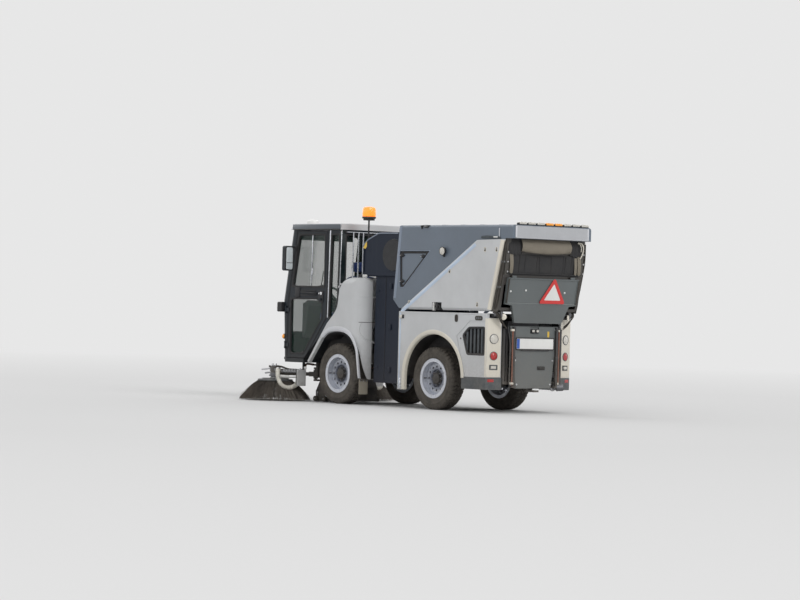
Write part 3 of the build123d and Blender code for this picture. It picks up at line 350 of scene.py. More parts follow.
def paint(name, colour, roughness=0.38, coat=0.25, dust=0.5,
        streaks=0.12, dustTop=0.95, gloss=0.5, shadeBehindCoverColour=None):
    # Sprayed paint: slow tone changes, rain streaks, fine orange peel, road dust that thickens downwards; with a
    # shade colour given, painted shade behind the side covers
    material, tree, shader = startMaterial(name, colour, roughness, Coat_Weight=coat, Coat_Roughness=0.12,
                                           Specular_IOR_Level=gloss)
    place = objectPlace(tree)
    split = node(tree, "ShaderNodeSeparateXYZ", {0: place})
    low = split.outputs[2]
    cloudy = noise(tree, place, 2.3, 5.0, 0.62)
    fine = noise(tree, place, 34.0, 6.0, 0.7)
    rain = noise(tree, place, 1.0, 5.0, 0.65, stretch=(26.0, 26.0, 1.1))
    tone = mixed(tree, ranged(tree, cloudy, 0.35, 0.68),
        [c * 0.93 for c in colour], [min(1, c * 1.04) for c in colour])
    streak = maths(tree, "MULTIPLY", ranged(tree, rain, 0.56, 0.8), streaks)
    tone = mixed(tree, streak, tone, [c * 0.55 + r * 0.3 for c, r in zip(colour, roadDust)])
    height = ranged(tree, low, dustTop, 0.18)
    grime = maths(tree, "MULTIPLY", maths(tree, "POWER", height, 1.6), ranged(tree, fine, 0.3, 0.66, 0.35, 1.0))
    grime = maths(tree, "MULTIPLY", grime, dust)
    tone = mixed(tree, grime, tone, roadDust)
    if shadeBehindCoverColour:
        # Painted shade: the part behind the covers' slanted rear edge (x + 0.264 * z below its value there) and
        # under the hood takes the darker shade colour
        behind = maths(tree, "ADD", split.outputs[0], maths(tree, "MULTIPLY", low, 0.264))
        behind = maths(tree, "MULTIPLY", ranged(tree, behind, -1.506, -1.51), ranged(tree, low, 1.802, 1.798))
        tone = mixed(tree, behind, tone, mixed(tree, cloudy, [c * 0.6 for c in shadeBehindCoverColour], shadeBehindCoverColour))
    tree.links.new(tone, shader.inputs["Base Color"])
    rough = maths(tree, "ADD", ranged(tree, grime, 0.0, 0.6, roughness, 0.85),
        ranged(tree, fine, 0.3, 0.7, -0.03, 0.05))
    tree.links.new(rough, shader.inputs["Roughness"])
    addBump(tree, shader, noise(tree, place, 420.0, 2.0, 0.5), 0.0004, 0.12)
    return material


def plastic(name, colour, roughness=0.6, grain=600.0, dust=0.35, dustTop=0.9):
    # Moulded plastic: a fine leather-like grain, scuffs and dust in the lower parts
    material, tree, shader = startMaterial(name, colour, roughness, Specular_IOR_Level=0.4)
    place = objectPlace(tree)
    low = node(tree, "ShaderNodeSeparateXYZ", {0: place}).outputs[2]
    scuff = noise(tree, place, 18.0, 7.0, 0.72)
    tone = mixed(tree, ranged(tree, scuff, 0.45, 0.75), colour, [c * 1.5 + 0.012 for c in colour])
    grime = maths(tree, "MULTIPLY", maths(tree, "MULTIPLY", ranged(tree, low, dustTop, 0.1), dust),
                  ranged(tree, noise(tree, place, 9.0, 6.0, 0.7), 0.32, 0.62, 0.25, 1.0))
    tree.links.new(mixed(tree, grime, tone, roadDust), shader.inputs["Base Color"])
    tree.links.new(ranged(tree, scuff, 0.3, 0.75, roughness - 0.08, roughness + 0.15), shader.inputs["Roughness"])
    pores = node(tree, "ShaderNodeTexVoronoi", {"Vector": place, "Scale": grain}).outputs["Distance"]
    addBump(tree, shader, pores, 0.0004, 0.35)
    return material


def rubberMaterial(name, colour, dustWeight):
    # Rubber: dull black that greys with dust and small cracks
    material, tree, shader = startMaterial(name, colour, 0.82, Specular_IOR_Level=0.3)
    place = objectPlace(tree)
    blotch = noise(tree, place, 11.0, 8.0, 0.72)
    speck = noise(tree, place, 120.0, 4.0, 0.8)
    dusty = maths(tree, "MULTIPLY", ranged(tree, blotch, 0.34, 0.7, 0.35, 1.0), dustWeight)
    dusty = maths(tree, "MULTIPLY", dusty, ranged(tree, speck, 0.3, 0.65, 0.55, 1.0))
    tree.links.new(mixed(tree, dusty, colour, roadDust), shader.inputs["Base Color"])
    addBump(tree, shader, maths(tree, "ADD", speck, blotch), 0.0012, 0.3)
    return material


def metal(name, colour, roughness=0.35, brush=(1, 1, 60), rust=0.0, wear=0.5):
    # Bare or lacquered metal with brush lines, stains and a little rust
    material, tree, shader = startMaterial(name, colour, roughness, 1.0)
    place = objectPlace(tree)
    lines = noise(tree, place, 12.0, 4.0, 0.6, stretch=brush)
    stain = noise(tree, place, 14.0, 7.0, 0.7)
    tone = mixed(tree, ranged(tree, stain, 0.38, 0.68), [c * 0.78 for c in colour], colour)
    tone = mixed(tree, maths(tree, "MULTIPLY", ranged(tree, stain, 0.58, 0.72), rust), tone, (0.16, 0.065, 0.025))
    tree.links.new(tone, shader.inputs["Base Color"])
    tree.links.new(ranged(tree, stain, 0.3, 0.72, roughness - 0.08, roughness + 0.3 * wear),
        shader.inputs["Roughness"])
    addBump(tree, shader, lines, 0.0004, 0.2)
    return material


def rimMaterial(name, colour, deep, roughness):
    # Lacquered rim: darker towards the middle, a bluish painted shade over the dish, brighter flange; radius from
    # the nearer axle's centre
    material, tree, shader = startMaterial(name, colour, roughness, 0.55)
    place = objectPlace(tree)
    split = node(tree, "ShaderNodeSeparateXYZ", {0: place})
    along = maths(tree, "SUBTRACT", maths(tree, "ABSOLUTE", maths(tree, "ADD", split.outputs[0], 0.109)), 0.795)
    radius = node(tree, "ShaderNodeCombineXYZ", {0: along, 2: maths(tree, "SUBTRACT", split.outputs[2], 0.33)})
    radius = node(tree, "ShaderNodeVectorMath", {0: radius.outputs[0]}, operation="LENGTH").outputs["Value"]
    stain = noise(tree, place, 22.0, 7.0, 0.7)
    far = maths(tree, "ADD", radius, ranged(tree, stain, 0.3, 0.7, -0.012, 0.012))
    # Painted shade: the dish is mixed towards the bluish dark colour inside radius 0.165, and darker still inside
    # 0.085
    tone = mixed(tree, ranged(tree, far, 0.085, 0.165), deep, colour)
    tone = mixed(tree, ranged(tree, far, 0.085, 0.06), tone, (0.03, 0.028, 0.03))
    tone = mixed(tree, ranged(tree, stain, 0.55, 0.75, 0.0, 0.55), tone, roadDust)
    tree.links.new(tone, shader.inputs["Base Color"])
    tree.links.new(ranged(tree, stain, 0.3, 0.7, roughness - 0.08, roughness + 0.25), shader.inputs["Roughness"])
    addBump(tree, shader, stain, 0.0006, 0.2)
    return material


def lens(name, colour, roughness=0.12, transmission=0.35, glow=0.0):
    # Lamp lens: clear coloured plastic with faint haze
    material, tree, shader = startMaterial(name, colour, roughness, Transmission_Weight=transmission, IOR=1.49,
                                           Coat_Weight=0.6, Coat_Roughness=0.05)
    place = objectPlace(tree)
    haze = noise(tree, place, 40.0, 5.0, 0.65)
    tree.links.new(mixed(tree, ranged(tree, haze, 0.35, 0.75), colour, [min(1, c * 0.82 + 0.03) for c in colour]),
                   shader.inputs["Base Color"])
    tree.links.new(ranged(tree, haze, 0.3, 0.8, roughness, roughness + 0.12), shader.inputs["Roughness"])
    if glow:
        shader.inputs["Emission Color"].default_value = (*colour[:3], 1)
        shader.inputs["Emission Strength"].default_value = glow
    return material


def glassMaterial(name, colour, density):
    # Tinted pane: lets most light through, with a thin film of dust that is thicker in the lower part
    material, tree, shader = startMaterial(name, colour, 0.03, Coat_Weight=1.0, Coat_Roughness=0.02)
    place = objectPlace(tree)
    film = noise(tree, place, 3.0, 3.0, 0.5)
    low = node(tree, "ShaderNodeSeparateXYZ", {0: place}).outputs[2]
    haze = maths(tree, "MULTIPLY", ranged(tree, film, 0.38, 0.75), ranged(tree, low, 1.9, 0.6, 0.35, 1.0))
    tree.links.new(ranged(tree, haze, 0.0, 1.0, 0.02, 0.1), shader.inputs["Roughness"])
    tree.links.new(mixed(tree, maths(tree, "MULTIPLY", haze, 0.25), colour, [c * 0.7 for c in roadDust]),
        shader.inputs["Base Color"])
    shine = node(tree, "ShaderNodeFresnel", {"IOR": 1.45}).outputs[0]
    tree.links.new(maths(tree, "ADD", density, maths(tree, "MULTIPLY", shine, 0.3)), shader.inputs["Alpha"])
    return material


def fabric(name, colour):
    # Woven cloth: two crossed waves give the threads, with sheen on top
    material, tree, shader = startMaterial(name, colour, 0.92, Sheen_Weight=0.35, Sheen_Roughness=0.5)
    place = objectPlace(tree)
    warp = node(tree, "ShaderNodeTexWave", {"Vector": place, "Scale": 240.0, "Distortion": 0.4},
        bands_direction="Y").outputs[1]
    weft = node(tree, "ShaderNodeTexWave", {"Vector": place, "Scale": 240.0, "Distortion": 0.4},
        bands_direction="Z").outputs[1]
    weave = maths(tree, "MULTIPLY", warp, weft)
    tree.links.new(mixed(tree, weave, [c * 0.6 for c in colour], [c * 1.25 for c in colour]),
        shader.inputs["Base Color"])
    addBump(tree, shader, weave, 0.0006, 0.5)
    return material


paints = {"silver": paint("silverPaint", (0.56, 0.57, 0.58), 0.42, coat=0.0, dust=0.55, gloss=0.32),
    # Graphite hopper paint; its second colour is the painted shade behind the side covers
    "graphite": paint("graphitePaint", (0.125, 0.155, 0.195),
        0.42, dust=0.3, streaks=0.25, shadeBehindCoverColour=(0.052, 0.046, 0.042)),
    "housing": paint("housingPaint", (0.0095, 0.015, 0.029), 0.46, coat=0.0, dust=0.14, gloss=0.22),
    "cab": paint("cabPaint", (0.013, 0.018, 0.024), 0.4, coat=0.0, dust=0.22, gloss=0.28),
    "door": paint("doorPaint", (0.11, 0.125, 0.128), 0.5, dust=0.4, streaks=0.35, dustTop=1.4),
    "chassis": paint("chassisPaint", (0.02, 0.02, 0.022), 0.55, dust=0.55),
    # Cream paint: the own colour of pale fittings, and painted sunlight on rear faces, edges and lips
    "creamAndSunlit": paint("creamAndSunlitPaint", (0.7, 0.66, 0.57), 0.42, dust=0.35, streaks=0.25),
    "beige": paint("beigePaint", (0.36, 0.33, 0.27), 0.6, coat=0.0, dust=0.3, streaks=0.5, dustTop=2.4),
    "band": paint("bandPaint", (0.085, 0.1, 0.118), 0.4, dust=0.2),
    # Pale trim paint, also used as a painted highlight on the front arch lips and hood corners
    "lip": paint("paleTrimAndHighlightPaint", (0.62, 0.63, 0.66), 0.32, dust=0.25),
    "taupe": paint("taupePaint", (0.06, 0.056, 0.05), 0.55, coat=0.0, dust=0.3, streaks=0.5, dustTop=2.4),
    "hood": paint("hoodPaint", (0.44, 0.45, 0.47), 0.38, dust=0.3, streaks=0.3),
    "yellow": paint("yellowPaint", (0.7, 0.46, 0.05), 0.45),
    "white": paint("whitePaint", (0.78, 0.78, 0.76), 0.35, dust=0.25),
    "red": paint("redPaint", (0.62, 0.03, 0.028), 0.35, dust=0.25),
    "blue": paint("bluePaint", (0.02, 0.09, 0.42), 0.35, dust=0.25),}
blackPlastic = plastic("blackPlastic", (0.018, 0.018, 0.02))
slatePlastic = plastic("slatePlastic", (0.05, 0.06, 0.068), 0.55)
greyPlastic = plastic("greyPlastic", (0.12, 0.125, 0.13), 0.55)
blackRubber = rubberMaterial("blackRubber", (0.022, 0.021, 0.02), 0.35)
flapRubber = rubberMaterial("flapRubber", (0.34, 0.31, 0.25), 0.5)
tyreRubber = rubberMaterial("tyreRubber", (0.022, 0.021, 0.02), 0.5)
curtainRubber = rubberMaterial("curtainRubber", (0.028, 0.029, 0.032), 0.1)
# Second colour: bluish painted shade of the rim's dish
rimLacquer = rimMaterial("rimLacquer", (0.56, 0.58, 0.63), (0.105, 0.115, 0.15), 0.34)
steel = metal("bareSteel", (0.55, 0.55, 0.56), 0.28, rust=0.35)
chrome = metal("brightMetal", (0.82, 0.83, 0.85), 0.12, wear=0.3)
castIron = metal("castIron", (0.2, 0.2, 0.21), 0.55, rust=0.6)
alloy = metal("alloyStrip", (0.74, 0.76, 0.8), 0.26, brush=(1, 1, 2))
mirrorGlass = lens("mirrorFace", (0.62, 0.67, 0.69), 0.1, transmission=0.0)
cabGlass = glassMaterial("cabGlass", (0.012, 0.045, 0.03), 0.12)
seatCloth = fabric("seatCloth", (0.03, 0.07, 0.3))
redLens = lens("redLens", (0.62, 0.02, 0.018))
clearLens = lens("clearLens", (0.8, 0.77, 0.7), transmission=0.25)
amberLens = lens("amberLens", (0.95, 0.36, 0.02), transmission=0.3, glow=0.3)
beaconLens = lens("beaconLens", (1.0, 0.27, 0.012), transmission=0.3, glow=0.75)
bristleMaterial = plastic("bristles", (0.026, 0.021, 0.018), 0.7, grain=300.0, dust=0.55, dustTop=0.3)

nodeFinish = {"lower_panels": paints["silver"], "side_covers": paints["silver"],
    "rear_hood": paints["hood"], "fenders": paints["silver"], "cab_roof": paints["silver"],
    "splash_plates": paints["silver"], "hopper_shell": paints["graphite"], "upper_housing": paints["housing"],
    "lower_housing": paints["housing"], "cab_shell": paints["cab"], "left_door_frame": paints["cab"],
    "right_door_frame": paints["cab"], "rear_door": paints["door"], "rear_cover": paints["door"],
    "rear_frame": paints["chassis"], "rear_rails": paints["chassis"], "front_frame": paints["chassis"],
    "front_rails": paints["chassis"], "rear_axle": paints["chassis"], "front_axle": paints["chassis"],
    "left_bracket": paints["chassis"], "right_bracket": paints["chassis"], "left_broom_arm": paints["chassis"],
    "right_broom_arm": paints["chassis"], "beacon_pole": blackPlastic, "air_grilles": blackPlastic,
    "rear_bumpers": slatePlastic, "dashboard": greyPlastic, "arch_liners": blackPlastic,
    "seat_pedestal": greyPlastic, "suction_mouth": blackPlastic, "outlet_screen": curtainRubber,
    "outlet_flap": paints["beige"], "outlet_frame": paints["taupe"], "mudflaps": flapRubber, "cab_glass": cabGlass,
    "left_door_glass": cabGlass, "right_door_glass": cabGlass, "seat": seatCloth, "rear_lamps": clearLens,
    "hopper_lamps": clearLens, "head_lamps": blackPlastic, "beacon": amberLens, "number_plate": paints["white"],
    "warning_triangle": paints["white"], "left_brush": bristleMaterial, "right_brush": bristleMaterial,
    "lift_barrels": paints["chassis"], "lift_rods": chrome, "exhaust_pipe": steel, "engine_block": castIron,}
for corner in ("front_left", "front_right", "rear_left", "rear_right"):
    nodeFinish[f"{corner}_rim"] = rimLacquer
    nodeFinish[f"{corner}_tyre"] = tyreRubber
for name, thing in nodes.items():
    thing.data.materials.clear()
    thing.data.materials.append(nodeFinish[name])
print("materials ready")

# Plain pale floor that runs into the background, and soft studio light
studio = {"back": (0.8, 0.8, 0.8), "floor": (0.66, 0.66, 0.66), "ambient": 0.5, "floorSize": 90.0, "fadeFrom": 9.0,
          "fadeTo": 30.0}
# Name, where it shines from, how wide it looks in degrees, strength
suns = [("rearKey", (-0.95, 0.05, 0.55), 30, 1.2), ("leftFill", (-0.1, 1.0, 0.6), 60, 0.55),
    ("rightFill", (0.1, -1.0, 0.6), 60, 0.55), ("frontFill", (1.0, 0.1, 0.6), 60, 0.75),
    ("top", (0.0, 0.0, 1.0), 70, 0.55)]


def addStudio():
    scene = bpy.context.scene
    scene.view_settings.view_transform = "Standard"
    world = bpy.data.worlds.new("studio")
    world.use_nodes = True
    scene.world = world
    tree = world.node_tree
    background = tree.nodes["Background"]
    background.inputs[0].default_value = (*studio["back"], 1)
    light = node(tree, "ShaderNodeLightPath")
    seen = maths(tree, "MAXIMUM", maths(tree, "MAXIMUM",
            light.outputs["Is Camera Ray"], light.outputs["Is Glossy Ray"]), light.outputs["Is Transmission Ray"])
    tree.links.new(ranged(tree, seen, 0.0, 1.0, studio["ambient"], 1.0), background.inputs[1])
    mesh = bpy.data.meshes.new("floor")
    half = studio["floorSize"]
    mesh.from_pydata([(-half, -half, 0), (half, -half, 0), (half, half, 0), (-half, half, 0)], [], [(0, 1, 2, 3)])
    floor = bpy.data.objects.new("floor", mesh)
    scene.collection.objects.link(floor)
    material, tree, shader = startMaterial("paleFloor", studio["floor"], 1.0)
    shader.inputs["Specular IOR Level"].default_value = 0.0
    far = node(tree, "ShaderNodeVectorMath", {0: objectPlace(tree)}, operation="LENGTH").outputs["Value"]
    plain = node(tree, "ShaderNodeEmission", {"Color": (*studio["back"], 1), "Strength": 1.0})
    blend = node(tree, "ShaderNodeMixShader", {0: ranged(tree, far, studio["fadeFrom"], studio["fadeTo"]),
                                               1: shader.outputs[0], 2: plain.outputs[0]})
    tree.links.new(blend.outputs[0], tree.nodes["Material Output"].inputs[0])
    mesh.materials.append(material)
    for name, place, wide, strength in suns:
        data = bpy.data.lights.new(name, "SUN")
        data.angle, data.energy = math.radians(wide), strength
        lamp = bpy.data.objects.new(name, data)
        scene.collection.objects.link(lamp)
        lamp.matrix_world = Vector(place).to_track_quat("Z", "Y").to_matrix().to_4x4()


addStudio()
print("studio set up")

# Where the rear and the front axle lie along x
rx, fx = middle("rear_axle")[0], middle("front_axle")[0]
sides = (("left", 1), ("right", -1))
toFront, toRear, toLeft, upward = (1, 0, 0), (-1, 0, 0), (0, 1, 0), (0, 0, 1)

# Tyres: blocks between zigzag grooves, ribs on the shoulders, rings on the wall
tyre = {"blocks": 46, "grooveDepth": 0.009, "lean": 0.55}


def tyreSurface(centre):
    # radius(row, column) = wall profile - depth where the row's groove or the slanted cross groove passes
    wall = [(0.186, -0.068, 0), (0.2, -0.078, 0), (0.208, -0.0785, 0), (0.213, -0.086, 0), (0.222, -0.0895, 0),
            (0.226, -0.0925, 0), (0.231, -0.0925, 0), (0.236, -0.0935, 0), (0.25, -0.0965, 0), (0.262, -0.0972, 0),
            (0.266, -0.099, 0), (0.271, -0.0988, 0), (0.275, -0.096, 0), (0.29, -0.0935, 0), (0.3, -0.0915, 0.2)]
    bend = np.radians([20, 42, 62, 80])
    shoulder = [(0.3 + 0.03 * math.sin(a), -0.0615 - 0.03 * math.cos(a), 1) for a in bend]
    tread = [(0.3298, -0.056, 1), (0.33, -0.03, 1), (0.33, -0.0285, 1), (0.322, -0.027, 0), (0.322, -0.0215, 0),
             (0.33, -0.02, 1), (0.33, -0.01, 1), (0.33, -0.0035, 1), (0.322, -0.0025, 0)]
    rows = np.array(wall + shoulder + tread)
    rows = np.concatenate([rows, rows[::-1] * (1, -1, 1)])
    fraction = np.array([0.0, 0.06, 0.1, 0.36, 0.64, 0.9, 0.94])
    grooved = np.array([1, 1, 0, 0, 0, 0, 1])
    turn = (np.arange(tyre["blocks"])[:, None] + fraction).ravel() * 2 * np.pi / tyre["blocks"]
    flags = np.tile(grooved, tyre["blocks"])
    lean = np.abs(rows[:, 1]) / 0.06 * tyre["lean"] * 2 * np.pi / tyre["blocks"]
    shift = np.where(np.abs(rows[:, 1]) < 0.024, 0.5, 0.0) * 2 * np.pi / tyre["blocks"]
    angle = turn[None] + (lean + shift)[:, None]
    radius = rows[:, 0, None] - tyre["grooveDepth"] * rows[:, 2, None] * flags[None]
    places = np.stack([radius * np.cos(angle), np.broadcast_to(rows[:, 1, None], radius.shape),
            radius * np.sin(angle)], -1)
    return surface(places + centre, closeRows=True, closeColumns=True)


wheelFit = {"nuts": 8, "nutCircle": 0.071, "nutRadius": 0.0105, "hubRadius": 0.057, "discFace": 0.0215}
for corner in ("front_left", "front_right", "rear_left", "rear_right"):
    centre = middle(f"{corner}_tyre")
    side = 1 if centre[1] > 0 else -1
    treaded = piece(f"{corner}_tread", tyreSurface(centre), tyreRubber, f"{corner}_wheel", sharp=32)
    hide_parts(f"{corner}_tyre")
    out = (0, side, 0)
    angle = np.arange(wheelFit["nuts"]) * 2 * np.pi / wheelFit["nuts"]
    face = centre[1] + side * wheelFit["discFace"]
    circle = wheelFit["nutCircle"]
    seats = [np.array((centre[0] + circle * math.cos(a), face, centre[2] + circle * math.sin(a))) for a in angle]
    studs = [rod(seat, seat + np.array(out) * 0.026, 0.0055) for seat in seats]
    piece(f"{corner}_nuts", [bolts(seats, out, wheelFit["nutRadius"], 0.018)] + studs,
        castIron, f"{corner}_wheel")
    hub = centre * (1, 0, 1) + np.array((0, face, 0))
    capRadius = wheelFit["hubRadius"]
    capRows = [(capRadius + 0.006, -0.004), (capRadius + 0.006, 0.004),
        (capRadius, 0.008), (capRadius, 0.026), (0.05, 0.033), (0.03, 0.036), (0.022, 0.041), (0.008, 0.042)]
    piece(f"{corner}_hub_cap", lathe(capRows, hub, out, 40), blackPlastic, f"{corner}_wheel")
    foot = centre + (0.166, side * 0.03, 0.0)
    neck, tip = foot + (-0.006, side * 0.03, 0), foot + (-0.008, side * 0.042, 0)
    piece(f"{corner}_valve", [rod(foot, neck, 0.0045), rod(neck, tip, 0.006)],
        blackRubber, f"{corner}_wheel")
    # Rolled edge on the rim's outer flange
    edgeRows = [(0.2075, 0.0795), (0.2105, 0.0835), (0.2085, 0.088), (0.2035, 0.0875), (0.202, 0.083)]
    piece(f"{corner}_rim_edge", lathe(edgeRows, centre, out, 96, closed=True), rimLacquer, f"{corner}_wheel")
print("wheels done")

# Brooms: tufts of bristles on a plate with its hub
broom = {"rings": (0.085, 0.12, 0.152, 0.18), "tufts": (22, 30, 38, 46), "strands": 13, "reach": 0.4, "steps": 5,
         "thickness": 0.0017, "seed": 11}


def bristleStrands(centre, high, low):
    # Strand: place(t) = start + outward * run * t ^ 0.86 + down * drop * t ^ 1.12, with random aim and length
    rings = np.repeat(np.arange(len(broom["rings"])), np.array(broom["tufts"]) * broom["strands"])
    count = len(rings)
    random = np.random.default_rng(broom["seed"])
    tuft = np.concatenate([np.repeat(np.arange(n), broom["strands"]) for n in broom["tufts"]])
    turn = tuft / np.array(broom["tufts"])[rings] * 2 * np.pi + rings * 0.35
    startRadius = np.array(broom["rings"])[rings] + random.uniform(-0.007, 0.007, count)
    startTurn = turn + random.uniform(-0.035, 0.035, count)
    endTurn = turn + random.normal(0, 0.09, count)
    endRadius = np.minimum(0.245 + rings * 0.048 + random.normal(0, 0.014, count), broom["reach"] - 0.003)
    endLow = low + np.abs(random.normal(0, 0.01, count)) + np.where(random.random(count) < 0.07, 0.03, 0)
    t = np.linspace(0, 1, broom["steps"])[None]
    start = np.stack([startRadius * np.cos(startTurn), startRadius * np.sin(startTurn)], -1)
    end = np.stack([endRadius * np.cos(endTurn), endRadius * np.sin(endTurn)], -1)
    flat = start[:, None] + (end - start)[:, None] * (t ** 0.86)[..., None]
    tall = high + (endLow - high)[:, None] * t ** 1.12
    path = np.concatenate([flat, tall[..., None]], -1)
    along = unit(path[:, -1] - path[:, 0])
    side = unit(np.cross(along, upward))
    up = np.cross(side, along)
    around = np.arange(3) * 2 * np.pi / 3
    ring = np.cos(around)[:, None] * side[:, None] + np.sin(around)[:, None] * up[:, None]
    width = broom["thickness"] * (1 - 0.35 * t)[0]
    places = path[:, :, None] + width[None, :, None, None] * ring[:, None]
    block = gridFaces(broom["steps"], 3, closeColumns=True)
    faces = (block[None] + np.arange(count)[:, None, None] * broom["steps"] * 3).reshape(-1, 4).tolist()
    last = (broom["steps"] - 1) * 3
    starts = np.arange(count) * broom["steps"] * 3
    faces += np.stack([starts + last, starts + last + 1, starts + last + 2], 1).tolist()
    faces += np.stack([starts + 2, starts + 1, starts], 1).tolist()
    return places.reshape(-1, 3) + (centre[0], centre[1], 0), faces


for sideName, side in sides:
    low, high = corners(f"{sideName}_brush")
    spot = (low + high) / 2 * (1, 1, 0)
    body = f"{sideName}_brush_body"
    mesh = bpy.data.meshes.new(f"{sideName}_bristles")
    points, faces = bristleStrands(spot, 0.222, 0.006)
    mesh.from_pydata(points.tolist(), [], faces)
    mesh.materials.append(bristleMaterial)
    strands = bpy.data.objects.new(f"{sideName}_bristles", mesh)
    bpy.context.scene.collection.objects.link(strands)
    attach(strands, body)
    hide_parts(f"{sideName}_brush")
    plate = [(0.03, 0.214), (0.192, 0.214), (0.196, 0.218),
        (0.196, 0.23), (0.19, 0.2345), (0.15, 0.2365), (0.146, 0.245), (0.06, 0.245), (0.056, 0.252), (0.03, 0.252)]
    piece(f"{sideName}_brush_plate", lathe(plate, spot, steps=64, closed=True), slatePlastic, body)
    hubAngles = np.arange(6) * np.pi / 3
    hubRows = [(0.014, 0.244), (0.04, 0.2445), (0.044, 0.25),
        (0.044, 0.256), (0.022, 0.258), (0.0155, 0.266), (0.0155, 0.296), (0.01, 0.297)]
    # Two circles of bolts: radius, starting angle, height, size
    circles = [bolts([spot + (far * math.cos(a + begin), far * math.sin(a + begin), tall) for a in hubAngles],
            upward, size, 0.006)
        for far, begin, tall, size in ((0.05, 0, 0.2515, 0.006), (0.172, 0.4, 0.235, 0.007))]
    piece(f"{sideName}_brush_hub", [lathe(hubRows, spot)] + circles, steel, body)
print("brooms' bristles done")

# Beacon: ribbed amber dome on a black foot; radius = profile * (1 + ripple * cos(count * angle))
beaconSet = {"ribs": 36, "ripple": 0.012}


def ribbedDome(centre, profile, steps, ribs, ripple):
    profile = np.asarray(profile, float)
    angle = np.linspace(0, 2 * np.pi, steps, endpoint=False)
    radius = profile[:, 0, None] * (1 + ripple * np.cos(ribs * angle))[None]
    places = np.stack([radius * np.cos(angle), radius * np.sin(angle),
            np.broadcast_to(profile[:, 1, None], radius.shape)], -1)
    return surface(places + centre, closeColumns=True, caps=True)


beaconLow, beaconHigh = corners("beacon")
beaconSpot = np.array([(beaconLow[0] + beaconHigh[0]) / 2, (beaconLow[1] + beaconHigh[1]) / 2, 0])
top, wide = beaconHigh[2], (beaconHigh[0] - beaconLow[0]) / 2 * 1.1
domeRows = [(wide * 0.93, top - 0.108), (wide * 0.96, top - 0.1), (wide * 0.965, top - 0.06),
    (wide * 0.94, top - 0.03), (wide * 0.84, top - 0.01), (wide * 0.66, top - 0.003), (wide * 0.35, top)]
dome = piece("beacon_dome", ribbedDome(beaconSpot, domeRows, 144, beaconSet["ribs"], beaconSet["ripple"]),
    beaconLens, "rear_unit")
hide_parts("beacon")
piece("beacon_foot", [lathe([(wide * 0.8, top - 0.13), (wide, top - 0.127),
            (wide, top - 0.112), (wide * 0.93, top - 0.107), (wide * 0.5, top - 0.106)], beaconSpot, steps=48),
        lathe([(0.022, top - 0.15), (0.03, top - 0.146), (0.034, top - 0.13), (0.012, top - 0.129)],
            beaconSpot, steps=32)], blackRubber, "rear_unit")
# The pole's lower end stands on the housing's leaning face
poleEnd = beaconSpot + (0, 0, 1.792)
stayFoot = beaconSpot + (0, 0, 1.7466)
stayOut = unit((0.625, 0, 0.781))
piece("beacon_stay", [rod(poleEnd, stayFoot, 0.0098, 24),
        rod(stayFoot - 0.003 * stayOut, stayFoot + 0.004 * stayOut, 0.02, 28)], blackPlastic, "rear_unit")
print("beacon done")


def placed(shape, origin, outward, up=(0, 0, 1)):
    # A shape drawn flat, x to the right, y up and z towards the viewer, put on a face
    outward = unit(outward)
    right = unit(np.cross(up, outward))
    return shape[0] @ np.array([right, np.cross(outward, right), outward]) + np.array(origin), shape[1]


def rectangle(width, height, radius=0.004, steps=4):
    x, y = width / 2, height / 2
    return roundLoop([(-x, -y), (x, -y), (x, y), (-x, y)], radius, steps)


def oval(width, height):
    # Outline of a slot with round ends
    return rectangle(width, height, min(width, height) * 0.49, 6)


def plaque(outline, depth, bevel=0.002, start=0.0):
    # Flat outline with thickness towards the viewer
    return slab(np.asarray(outline, float), start, start + depth, "z", bevel)


# Rear lamps on the slanted panels: clear above, red below, a small block lamp and a reflector on the bumper
rearLamp = {"clearHeight": 0.765, "redHeight": 0.59, "blockHeight": 0.472, "clearRadius": 0.046, "redRadius": 0.04,
            "reflector": (0.072, 0.03)}
panelMiddle = np.array([rx - 0.885, 0.5035, 0.0])
panelOut = np.array([-math.cos(math.radians(12.88)), math.sin(math.radians(12.88)), 0])


def ringedLens(radius, rings=5):
    # Lens dome whose height carries small rings: height = dome + ripple * cos(2 pi rings r / radius)
    r = np.linspace(radius, 0.0015, 26)
    tall = 0.007 + 0.01 * (1 - (r / radius) ** 2) + 0.0006 * np.cos(2 * np.pi * rings * r / radius)
    return lathe(np.concatenate([[(radius, 0.0)], np.stack([r, tall], 1)]), steps=40)


def bezel(radius, width=0.007, depth=0.01):
    return lathe([(radius, -0.001), (radius + width, -0.001), (radius + width, depth * 0.5),
            (radius + width * 0.6, depth), (radius, depth), (radius - 0.001, depth * 0.5)], steps=40, closed=True)


def onPanel(shape, height):
    return placed(shape, panelMiddle + (0, 0, height), panelOut)


blockLens = plaque(rectangle(0.06, 0.026, 0.005), 0.008, 0.002, 0.003)
clearParts = [onPanel(ringedLens(rearLamp["clearRadius"]), rearLamp["clearHeight"]),
    onPanel(blockLens, rearLamp["blockHeight"])]
clearPiece = piece("rear_clear_lenses", clearParts + [mirrored(s) for s in clearParts], clearLens, "rear_unit")
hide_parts("rear_lamps")
redParts = [onPanel(ringedLens(rearLamp["redRadius"]), rearLamp["redHeight"])]
bumperOut = unit((-0.962, 0.275, 0))
reflector = placed(plaque(rectangle(*rearLamp["reflector"], 0.004), 0.004, 0.001),
    (rx - 0.883, 0.535, 0.335), bumperOut)
piece("rear_red_lenses", redParts + [mirrored(s) for s in redParts + [reflector]] + [reflector],
    redLens, "rear_unit")
blockFrame = frameSlab(rectangle(0.098, 0.054, 0.006), rectangle(0.064, 0.03, 0.005), 0.0, 0.006, "z", 0.0015)
darkParts = [onPanel(bezel(rearLamp["clearRadius"], 0.005), rearLamp["clearHeight"]),
    onPanel(bezel(rearLamp["redRadius"], 0.006), rearLamp["redHeight"]),
    onPanel(blockFrame, rearLamp["blockHeight"])]
piece("rear_lamp_bezels", darkParts + [mirrored(s) for s in darkParts], slatePlastic, "rear_unit")

